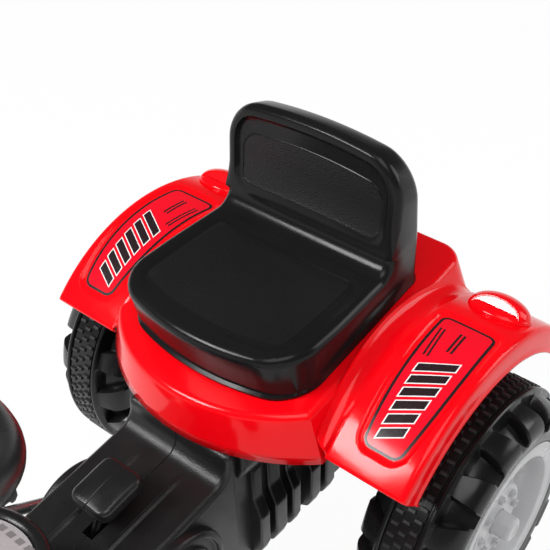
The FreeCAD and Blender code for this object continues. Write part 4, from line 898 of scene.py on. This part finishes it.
bumper_plan = box_outline(bumper_half, bumper_back, bumper_front)
bumper = prism([(x, y, bumper_low) for x, y in bumper_plan], (0.0, 0.0, bumper_tall))
round_off(bumper, [e for e in edges_along(bumper, 2, 0.01) if e.verts[0].co.y < -0.45], bumper_corner, 7)
bumper.normal_update()
for facing in ((0.0, 0.0, 1.0), (0.0, 0.0, -1.0)):
    rim_edges = [e for e in widest_face(bumper, facing).edges if min(v.co.y for v in e.verts) < bumper_back - 0.001]
    round_off(bumper, rim_edges, bumper_edge, 4)
    bumper.normal_update()
step_in(bumper, widest_face(bumper, (0.0, -1.0, 0.0)), (0.0060, 0.0), (0.0014, -0.0030))
bumper_piece = make_piece("front_bumper_bar", bumper, [chassis_black], "chassis", 34.0, flats=True)
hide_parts("front_bumper")

# Rear body: deck, pedestal and both fenders are one blow-moulded shell of the hood's glossy red
# polyethylene, about 3 mm thick, open underneath and screwed down over the chassis.
axle_y = 0.300
arch_y, arch_z = 0.304, 0.141
apron_z, top_z, ring_heights = 0.258, 0.350, (0.268, 0.279, 0.290)
apron_r, apron_top_r, apron_flare, back_corner = 0.188, 0.180, 0.06, 0.030
side_x, side_top_x, back_y, back_top_y = 0.131, 0.107, 0.138, 0.116
deck_z, deck_rise, deck_round, wall = 0.324, 0.10, 0.006, 0.003
deck_up = (0.0, -deck_rise, 1.0)
fender_r, fender_front, fender_rear = 0.190, 137.0, 24.0
panel_front, panel_rear, panel_depth, panel_corner = 130.5, 80.8, 0.0030, 0.012
panel_reach = fender_r * math.radians(panel_front - panel_rear) / 2
crest_x, crest_half, crest_lift = 0.175, 0.038, 0.0008
root_x, root_r, ramp_x, ramp_r, ramp_lean = 0.098, 0.169, 0.1325, 0.1888, 0.48
root_fillet, fillet_share, fade_front, fade_rear = 0.020, 0.9, 0.385, 0.430
flat_x, flat_step, edge_x, edge_roll = 0.1355, 0.0013, 0.2112, 0.0058
skirt_rows = ((0.2173, 0.178), (0.2176, 0.172), (0.2178, 0.168), (0.2186, 0.1665), (0.2186, 0.1645))
lip_steps = ((0.0012, 0.0004), (0.0008, 0.0012), (0.0003, 0.0042))
side_lean = (side_x - side_top_x) / (top_z - apron_z)
corner_y = axle_y - math.sqrt(apron_r ** 2 - side_x ** 2) + 0.0005


def on_arch(x, r, turn):
    # A point at a radius and an angle round the middle of the wheel arch
    return Vector((x, arch_y + r * math.cos(turn), arch_z + r * math.sin(turn)))


def from_arch(vert):
    return Vector((0.0, vert.co.y - arch_y, vert.co.z - arch_z))


def panel_mid(share):
    # Middle of the fender's recessed panel, from its rear end at 0 to its front end at 1
    return 0.1715 + 0.016 * share - 0.0115 * share ** 2


def panel_half(share):
    return 0.0318 - 0.0100 * share ** 3


def panel_gap(turn_deg, x):
    # Distance outside the panel, a rounded tapering shape
    share = (turn_deg - panel_rear) / (panel_front - panel_rear)
    along = panel_reach * (2.0 * share - 1.0)
    half = panel_half(min(1.0, max(0.0, share)))
    past = (abs(along) - panel_reach + panel_corner, abs(x - panel_mid(share)) - half + panel_corner)
    return math.hypot(max(0.0, past[0]), max(0.0, past[1])) + min(0.0, max(past)) - panel_corner


def crown_lift(x):
    return max(0.0, crest_lift * (1.0 - ((x - crest_x) / crest_half) ** 2))


shell = bmesh.new()
section = [(root_x, root_r), (ramp_x, ramp_r), (0.1339, 0.1896)]
section += [(flat_x + flat_step * i, fender_r) for i in range(58)]
for i in range(9):
    roll = math.radians(10 * i)
    section.append((edge_x + edge_roll * math.sin(roll), fender_r - edge_roll + edge_roll * math.cos(roll)))
section += skirt_rows
rail = [shell.verts.new(on_arch(x, r, math.radians(fender_rear))) for x, r in section]
lines = [shell.edges.new(pair) for pair in zip(rail, rail[1:])]
bmesh.ops.subdivide_edges(shell, edges=[lines[0]], cuts=28)
bmesh.ops.spin(
    shell, geom=list(shell.verts) + list(shell.edges), cent=(0.0, arch_y, arch_z), axis=(1.0, 0.0, 0.0),
    angle=math.radians(fender_front - fender_rear), steps=190, use_merge=False)
shell.normal_update()
crest = max(shell.faces, key=lambda face: face.calc_center_median().z)
if crest.normal.z < 0.0:
    bmesh.ops.reverse_faces(shell, faces=shell.faces)
for vert in shell.verts:
    x = vert.co.x
    out = from_arch(vert)
    turn = math.degrees(math.atan2(out.z, out.y))
    if out.length > 0.186:
        out.normalize()
        vert.co += out * crown_lift(x)
        vert.co -= out * panel_depth * (1.0 - ease(panel_gap(turn, x), -0.0014, 0.0026))
# The fender's inner edge runs down into the pedestal's side with a fillet, which fades out behind
for vert in shell.verts:
    if vert.co.x < ramp_x:
        share = (vert.co.x - root_x) / (ramp_x - root_x)
        out = from_arch(vert).normalized()
        rise = 0.0
        kept = 1.0 - ease(arch_y + ramp_r * out.y, fade_front, fade_rear)
        for _ in range(4):
            wall_x = side_x - side_lean * (arch_z + (ramp_r + rise - 0.009) * out.z - apron_z)
            wall_x = min(wall_x, side_x - 0.002)
            x = wall_x - 0.0006 + share ** 2 * (ramp_x - wall_x)
            gap = max(0.0, (x - wall_x) / math.hypot(1.0, side_lean))
            reach = max(0.0, root_fillet - gap)
            rise = fillet_share * kept * (root_fillet - math.sqrt(root_fillet ** 2 - reach ** 2))
        r = ramp_r - (ramp_x - x) * ramp_lean + rise
        vert.co = (x, max(corner_y, arch_y + r * out.y), arch_z + r * out.z)
for ahead, drop in lip_steps:
    front_edge = []
    for edge in shell.edges:
        turns = [math.degrees(math.atan2(v.co.z - arch_z, v.co.y - arch_y)) for v in edge.verts]
        clear = min(v.co.x for v in edge.verts) > ramp_x - 0.0001
        if edge.is_boundary and clear and min(turns) > fender_front - 0.05:
            front_edge.append(edge)
    lip = bmesh.ops.extrude_edge_only(shell, edges=front_edge)
    for vert in made(lip["geom"]):
        out = from_arch(vert).normalized()
        vert.co += Vector((0.0, -out.z, out.y)) * ahead - out * drop
twin = bmesh.ops.duplicate(shell, geom=everything(shell))["geom"]
bmesh.ops.scale(shell, verts=made(twin), vec=(-1.0, 1.0, 1.0))
bmesh.ops.reverse_faces(shell, faces=made(twin, bmesh.types.BMFace))

nose_half = math.asin(side_x / apron_r)
outline = []
for i in range(41):
    swing = nose_half * (1 - i / 20)
    outline.append((apron_r * math.sin(swing), -apron_r * math.cos(swing)))
for side, start in ((-1, 180.0), (1, 90.0)):
    for i in range(13):
        swing = math.radians(start - 90.0 * i / 12)
        corner_x = side * (side_x - back_corner) + back_corner * math.cos(swing)
        outline.append((corner_x, back_y - back_corner + back_corner * math.sin(swing)))
fender_verts = set(shell.verts)
foot = [shell.verts.new((x, axle_y + y, apron_z)) for x, y in outline]
grown = [shell.faces.new(foot[::-1])]
for height in (*ring_heights, top_z):
    lift = bmesh.ops.extrude_face_region(shell, geom=[grown[-1]])
    grown.append(made(lift["geom"], bmesh.types.BMFace)[0])
    for vert in grown[-1].verts:
        vert.co.z = height
bmesh.ops.delete(shell, geom=grown[:-1], context="FACES_ONLY")
pedestal = [vert for vert in shell.verts if vert not in fender_verts]
for vert in pedestal:
    share = (vert.co.z - apron_z) / (top_z - apron_z)
    y = vert.co.y - axle_y
    if y < 0:
        drawn = 1.0 + share * (apron_top_r / apron_r - 1.0)
        y *= drawn + apron_flare * share * (abs(vert.co.x) / side_x) ** 2
    else:
        y *= 1.0 + share * (back_top_y / back_y - 1.0)
    vert.co.y = axle_y + y
    vert.co.x *= 1.0 + share * (side_top_x / side_x - 1.0)
block = list(pedestal)
block += dict.fromkeys(edge for vert in pedestal for edge in vert.link_edges)
block += dict.fromkeys(face for vert in pedestal for face in vert.link_faces)
deck_cut = bmesh.ops.bisect_plane(
    shell, geom=block, dist=0.00001, plane_co=(0.0, axle_y, deck_z), plane_no=deck_up, clear_outer=True)
deck = bmesh.ops.edgeloop_fill(shell, edges=made(deck_cut["geom_cut"], bmesh.types.BMEdge))["faces"][0]
round_off(shell, list(deck.edges), deck_round, 5)
rear_body = make_piece("rear_body_moulding", shell, [body_red], "chassis", 40.0, outward=False)
skin_wall = rear_body.modifiers.new("wall", "SOLIDIFY")
skin_wall.thickness = wall
skin_wall.offset = -1.0
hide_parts("rear_body_shell")

# Fender decals: printed vinyl film pressed into each fender's recessed panel, red with a dark
# border, slanted bars with a white outline and twin stripes.
film_red = moulded(
    "decal_red", (0.80, 0.004, 0.018), (0.74, 0.003, 0.015), 0.16, grain=0.0040, depth=0.00001, haze=0.03, shine=0.26)
film_dark = moulded(
    "decal_dark", (0.022, 0.012, 0.014), (0.018, 0.010, 0.012), 0.26, grain=0.0040, depth=0.00001, haze=0.03, shine=0.3)
film_white = moulded(
    "decal_white", (0.82, 0.79, 0.79), (0.76, 0.73, 0.73), 0.26, grain=0.0040, depth=0.00001, haze=0.03)
dark_ink, white_ink = 1, 2
film_margin, film_corner, film_border, film_thick = 0.0036, 0.0085, 0.0028, 0.0002
bar_count, bar_first, bar_pitch, bar_lean, bar_grow = 6, 0.058, 0.0145, 0.55, 0.0011
bar_prints = ((white_ink, 0.0002, 0.0056, 0.0117), (dark_ink, 0.0003, 0.0044, 0.0105))
stripes = [((-0.063, c), (-0.034, c), (-0.0355, c + 0.0022), (-0.063, c + 0.0022)) for c in (-0.0030, 0.0012)]
stripes += [
    ((-0.060, c), (-0.020, c + 0.0035), (-0.022, c + 0.0053), (-0.060, c + 0.0018)) for c in (-0.0225, -0.0185)]

for hand, side in (("left", 1), ("right", -1)):
    film = bmesh.new()
    reach = panel_reach - film_margin
    side_edge = []
    for i in range(13):
        along = reach * (i / 6 - 1.0)
        side_edge.append((along, panel_half((along / panel_reach + 1.0) / 2.0) - film_margin))
    corners = [(a, -c) for a, c in side_edge] + side_edge[::-1]
    film.faces.new([film.verts.new((a, c, 0.0001)) for a, c in corners])
    ends = [vert for vert in film.verts if abs(abs(vert.co.x) - reach) < 0.00001]
    round_off(film, ends, film_corner, 5, "VERTICES")
    film.faces.ensure_lookup_table()
    border = bmesh.ops.inset_region(
        film, faces=[film.faces[0]], thickness=film_border, depth=0.0, use_boundary=True, use_even_offset=True)
    for face in border["faces"]:
        face.material_index = dark_ink
    for i in range(bar_count):
        mid = bar_first - bar_pitch * i
        for ink, lift, wide, least in bar_prints:
            tall = least + bar_grow * i
            low, high = mid + bar_lean * tall, mid - bar_lean * tall
            bar = ((low - wide, -tall), (low + wide, -tall), (high + wide, tall), (high - wide, tall))
            print_shape(film, bar, lift, ink)
    for stripe in stripes:
        print_shape(film, stripe, 0.0002, dark_ink)
    slice_up(film, 0, [0.006 * i for i in range(-13, 14)])
    slice_up(film, 1, [0.007 * i for i in range(-4, 5)])
    for vert in film.verts:
        along, across, lift = vert.co
        share = (along / panel_reach + 1.0) / 2.0
        turn = math.radians(panel_rear + share * (panel_front - panel_rear))
        x = panel_mid(share) + across
        vert.co = on_arch(x, fender_r + crown_lift(x) - panel_depth + film_thick + lift, turn)
    mirror(film, side)
    if side < 0:
        bmesh.ops.reverse_faces(film, faces=film.faces)
    make_piece(
        "fender_decal_" + hand, film, [film_red, film_dark, film_white], "chassis", 60.0, outward=False)

# Tail lights: a red moulded cap on each fender with a low ledge in front and a flat glossy
# lens set into its sloping face, pushed into the fender from above.
lens_red = moulded(
    "lens_red", (0.82, 0.006, 0.012), (0.76, 0.004, 0.009), 0.06, grain=0.0020, depth=0.00001, haze=0.02)
light_turn = math.radians(67.0)
light_mid = on_arch(crest_x, fender_r + crown_lift(crest_x), light_turn)
light_ahead = Vector((0.0, -math.sin(light_turn), math.cos(light_turn)))
light_out = Vector((0.0, math.cos(light_turn), math.sin(light_turn)))
base_size, crest_size, light_sunk = (0.0325, 0.0238, 0.0105), (0.0316, 0.0235, 0.0172), -0.004
ledge_z, ledge_round, lens_spot, lens_facing = 0.0066, 0.0022, (0.0, 0.0125, 0.0066), (0.0, 0.95, 0.31)


def cut_off(mesh, place, normal):
    # Takes away what lies past a plane and closes the cut
    cut = slice_at(mesh, place, normal, clear=True)
    return bmesh.ops.edgeloop_fill(mesh, edges=made(cut["geom_cut"], bmesh.types.BMEdge))["faces"][0]


def light_dome(size):
    # Upper part of an oval dome in the light's own directions: across, forward and out
    dome = bmesh.new()
    bmesh.ops.create_uvsphere(dome, u_segments=56, v_segments=28, radius=1.0)
    bmesh.ops.scale(dome, vec=size, verts=dome.verts)
    cut_off(dome, (0.0, 0.0, light_sunk), (0.0, 0.0, -1.0))
    return dome


for hand, side in (("left", 1), ("right", -1)):
    light = light_dome(base_size)
    ledge = cut_off(light, (0.0, 0.0, ledge_z), (0.0, 0.0, 1.0))
    round_off(light, list(ledge.edges), ledge_round, 3)
    hump = light_dome(crest_size)
    lens = cut_off(hump, lens_spot, lens_facing)
    step_in(hump, lens, (0.0009, 0.0), (0.0004, -0.0005))
    lens.material_index = 1
    add_to(light, hump)
    for vert in light.verts:
        across, ahead, up = vert.co
        vert.co = light_mid + Vector((across, 0.0, 0.0)) + light_ahead * ahead + light_out * up
    mirror(light, side)
    cap = make_piece("tail_light_" + hand + "_cap", light, [body_red, lens_red], "chassis", 30.0)
    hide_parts("tail_light_" + hand)

# Seat: one hollow blow moulding of satin black polyethylene, pan and backrest in one, with
# rolled rims, grained panels and a thin base lip. Bolts and wing nuts clamp it in the deck's slots.
seat_skin = moulded(
    "satin_black_seat", (0.0085, 0.0085, 0.0090), (0.0068, 0.0068, 0.0072), 0.20, grain=0.0016, depth=0.00003,
    haze=0.05, shine=0.17)
seat_grain = moulded(
    "grained_black_seat", (0.0095, 0.0095, 0.0100), (0.0075, 0.0075, 0.0080), 0.34, grain=0.0014, depth=0.0012,
    haze=0.06, shine=0.24)
seat_half, seat_draft, seat_taper, seat_tuck, seat_gap = 0.108, 0.034, 0.049, 0.0026, 0.0006
base_back, base_front = (0.358, 0.3298), (0.168, 0.3108)
pan_front, lap = (0.154, 0.3622), (0.302, 0.3700)
crown_front, crown_rear = (0.308, 0.477), (0.342, 0.468)
lap_round, front_round, crown_round, rim_round = 0.015, 0.034, 0.038, 0.010
pan_steps = ((0.0026, -0.0012), (0.0012, 0.0), (0.0030, 0.0013))
back_steps = ((0.0026, -0.0028), (0.0022, -0.0008), (0.0030, 0.0))
bead_steps = ((0.0006, 0.0006), (0.0006, 0.0), (0.0006, -0.0006))
back_lean, back_drop, lip_tall, lip_over, lip_side, lip_front = 0.058, 0.011, 0.0035, 0.0060, 0.0008, 0.0030
front_bow, pan_sag, crown_arch, back_hollow = 0.022, 0.0030, 0.010, 0.0040


def over_deck(vert):
    return vert.co.z - deck_z - deck_rise * (vert.co.y - axle_y)


def seat_panel(facing, low_z, border, corner):
    # Marks out a panel with rounded corners on the largest face that looks in a direction
    seat.normal_update()
    panel = widest_face(seat, facing, low_z)
    step_in(seat, panel, (border, 0.0))
    corners = [l.vert for l in panel.loops if l.calc_angle() < math.radians(110.0)]
    round_off(seat, corners, corner, 6, "VERTICES")
    seat.normal_update()
    return widest_face(seat, facing, low_z)


side_view = (base_back, base_front, pan_front, lap, crown_front, crown_rear)
seat = prism([(-seat_half, y, z) for y, z in side_view], (2 * seat_half, 0.0, 0.0))
round_off(seat, edges_between(seat, lap, lap), lap_round, 9)
round_off(seat, edges_between(seat, base_front, pan_front), front_round, 9)
round_off(seat, edges_between(seat, crown_front, crown_rear), crown_round, 11)
rim = []
for edge in seat.edges:
    on_deck = all(abs(over_deck(vert)) < 0.0005 for vert in edge.verts)
    if edge.calc_face_angle(0.0) > math.radians(35.0) and not on_deck:
        rim.append(edge)
round_off(seat, rim, rim_round, 6)
pan_panel = seat_panel((0.0, 0.0, 1.0), 0.33, 0.008, 0.014)
step_in(seat, pan_panel, *pan_steps)
pan_panel.material_index = 1
back_panel = seat_panel((0.0, -1.0, 0.0), 0.38, 0.002, 0.020)
step_in(seat, back_panel, *back_steps)
for vert in back_panel.verts:
    drop = back_drop * ease(vert.co.z, 0.400, 0.455)
    vert.co += Vector((0.0, -back_lean * drop, -drop))
step_in(seat, back_panel, *bead_steps)
back_panel.material_index = 1
slice_up(seat, 0, [0.009 * i for i in range(-11, 12)])
slice_up(seat, 1, [0.165 + 0.014 * i for i in range(10)])
slice_up(seat, 2, [0.388 + 0.012 * i for i in range(8)])
for lip in (lip_tall, lip_over):
    slice_at(seat, (0.0, axle_y, deck_z + lip), deck_up)
seat.normal_update()
for vert in seat.verts:
    flat = Vector((vert.normal.x, vert.normal.y, 0.0))
    if over_deck(vert) < lip_tall + 0.0005 and flat.length > 0.3:
        flat.normalize()
        vert.co += Vector((lip_side * flat.x, lip_front * flat.y, 0.0))
# Draft and bulge: narrower above and behind, bowed in front, arched and hollowed at the back, and
# tucked in above the lip so that the seat slides clear of the fenders
for vert in seat.verts:
    x, y, z = vert.co
    share = x / seat_half
    middle = max(0.0, 1.0 - share * share)
    half = seat_half - max(seat_draft * (z - apron_z), seat_taper * max(0.0, y - pan_front[0]))
    half -= seat_tuck * (1.0 - ease(over_deck(vert), 0.005, 0.020)) * ease(y, 0.165, 0.205)
    bow = front_bow * middle * (1.0 - ease(y, 0.150, 0.290))
    sag = pan_sag * middle * ease(y, 0.165, 0.215) * (1.0 - ease(y, 0.250, 0.300))
    arch = crown_arch * middle * ease(z, 0.372, 0.474)
    hollow = back_hollow * middle * ease(z, 0.385, 0.415) * (1.0 - ease(z, 0.440, 0.474))
    vert.co.x = share * half
    back_y_here = lap[0] + (z - lap[1]) * back_lean
    if y < 0.318 and z > 0.384:
        y = back_y_here + (y - back_y_here) * ease(z, 0.387, 0.412) + hollow
    vert.co.y = y - bow
    vert.co.z = z - deck_rise * bow + arch - (sag if z > 0.352 and y < 0.30 else 0.0)
    if over_deck(vert) < seat_gap:
        vert.co.z += seat_gap
seat_piece = make_piece("seat_moulding", seat, [seat_skin, seat_grain], "seat", 34.0)
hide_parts("seat")
dress(zinc_steel, "seat_bolts")
dress(chassis_black, "seat_wing_nuts")

# Screws: pan-head steel screws with a cross recess, five through each chassis side and two
# through each side of the hood, driven last. The recess is not sunk: a dark cross on each head is painted shade.
# Near-black skin for the cross on each head: painted shade standing in for the hollow of the recess
screw_painted_shade = moulded("screw_recess_painted_shade", (0.010, 0.010, 0.010), (0.006, 0.006, 0.006), 0.5, grain=0.0010, depth=0.0001)
screw_rows = ((0.0, 0.0050), (0.0012, 0.0050), (0.0021, 0.0044), (0.0027, 0.0032), (0.0030, 0.0016), (0.0030, 0.0004))
cross_spot, cross_size, cross_turns = (0.0026, 0.0, 0.0), (0.0012, 0.0011, 0.0054, 1.0), (35.0, 125.0)
side_screw_z, hood_screw_x, hood_screw_z = 0.176, 0.0679, 0.222
side_screws = [(hip_half, y) for y in (0.380, 0.215)] + [(tunnel_half, y) for y in (-0.020, -0.250, -0.400)]


def screw_heads(name, node, places):
    heads = bmesh.new()
    for x, y, z in places:
        head = lathe(screw_rows, False, 20)
        for turn in cross_turns:
            arm = bmesh.new()
            lie = Matrix.Rotation(math.radians(turn), 4, "X") @ Matrix.Diagonal(cross_size)
            bmesh.ops.create_cube(arm, size=1.0, matrix=Matrix.Translation(cross_spot) @ lie)
            # The cross takes the painted shade skin
            for face in arm.faces:
                face.material_index = 1
            add_to(head, arm)
        mirror(head, math.copysign(1.0, x))
        move(head, (x, y, z))
        add_to(heads, head)
    piece = make_piece(name, heads, [zinc_steel, screw_painted_shade], "chassis", 40.0)
    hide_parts(node)


side_places = [(side * x, y, side_screw_z) for side in (1, -1) for x, y in side_screws]
hood_places = [(side * hood_screw_x, y, hood_screw_z) for side in (1, -1) for y in (-0.260, -0.420)]
screw_heads("chassis_screw_heads", "chassis_screws", side_places)
screw_heads("hood_screw_heads", "hood_screws", hood_places)
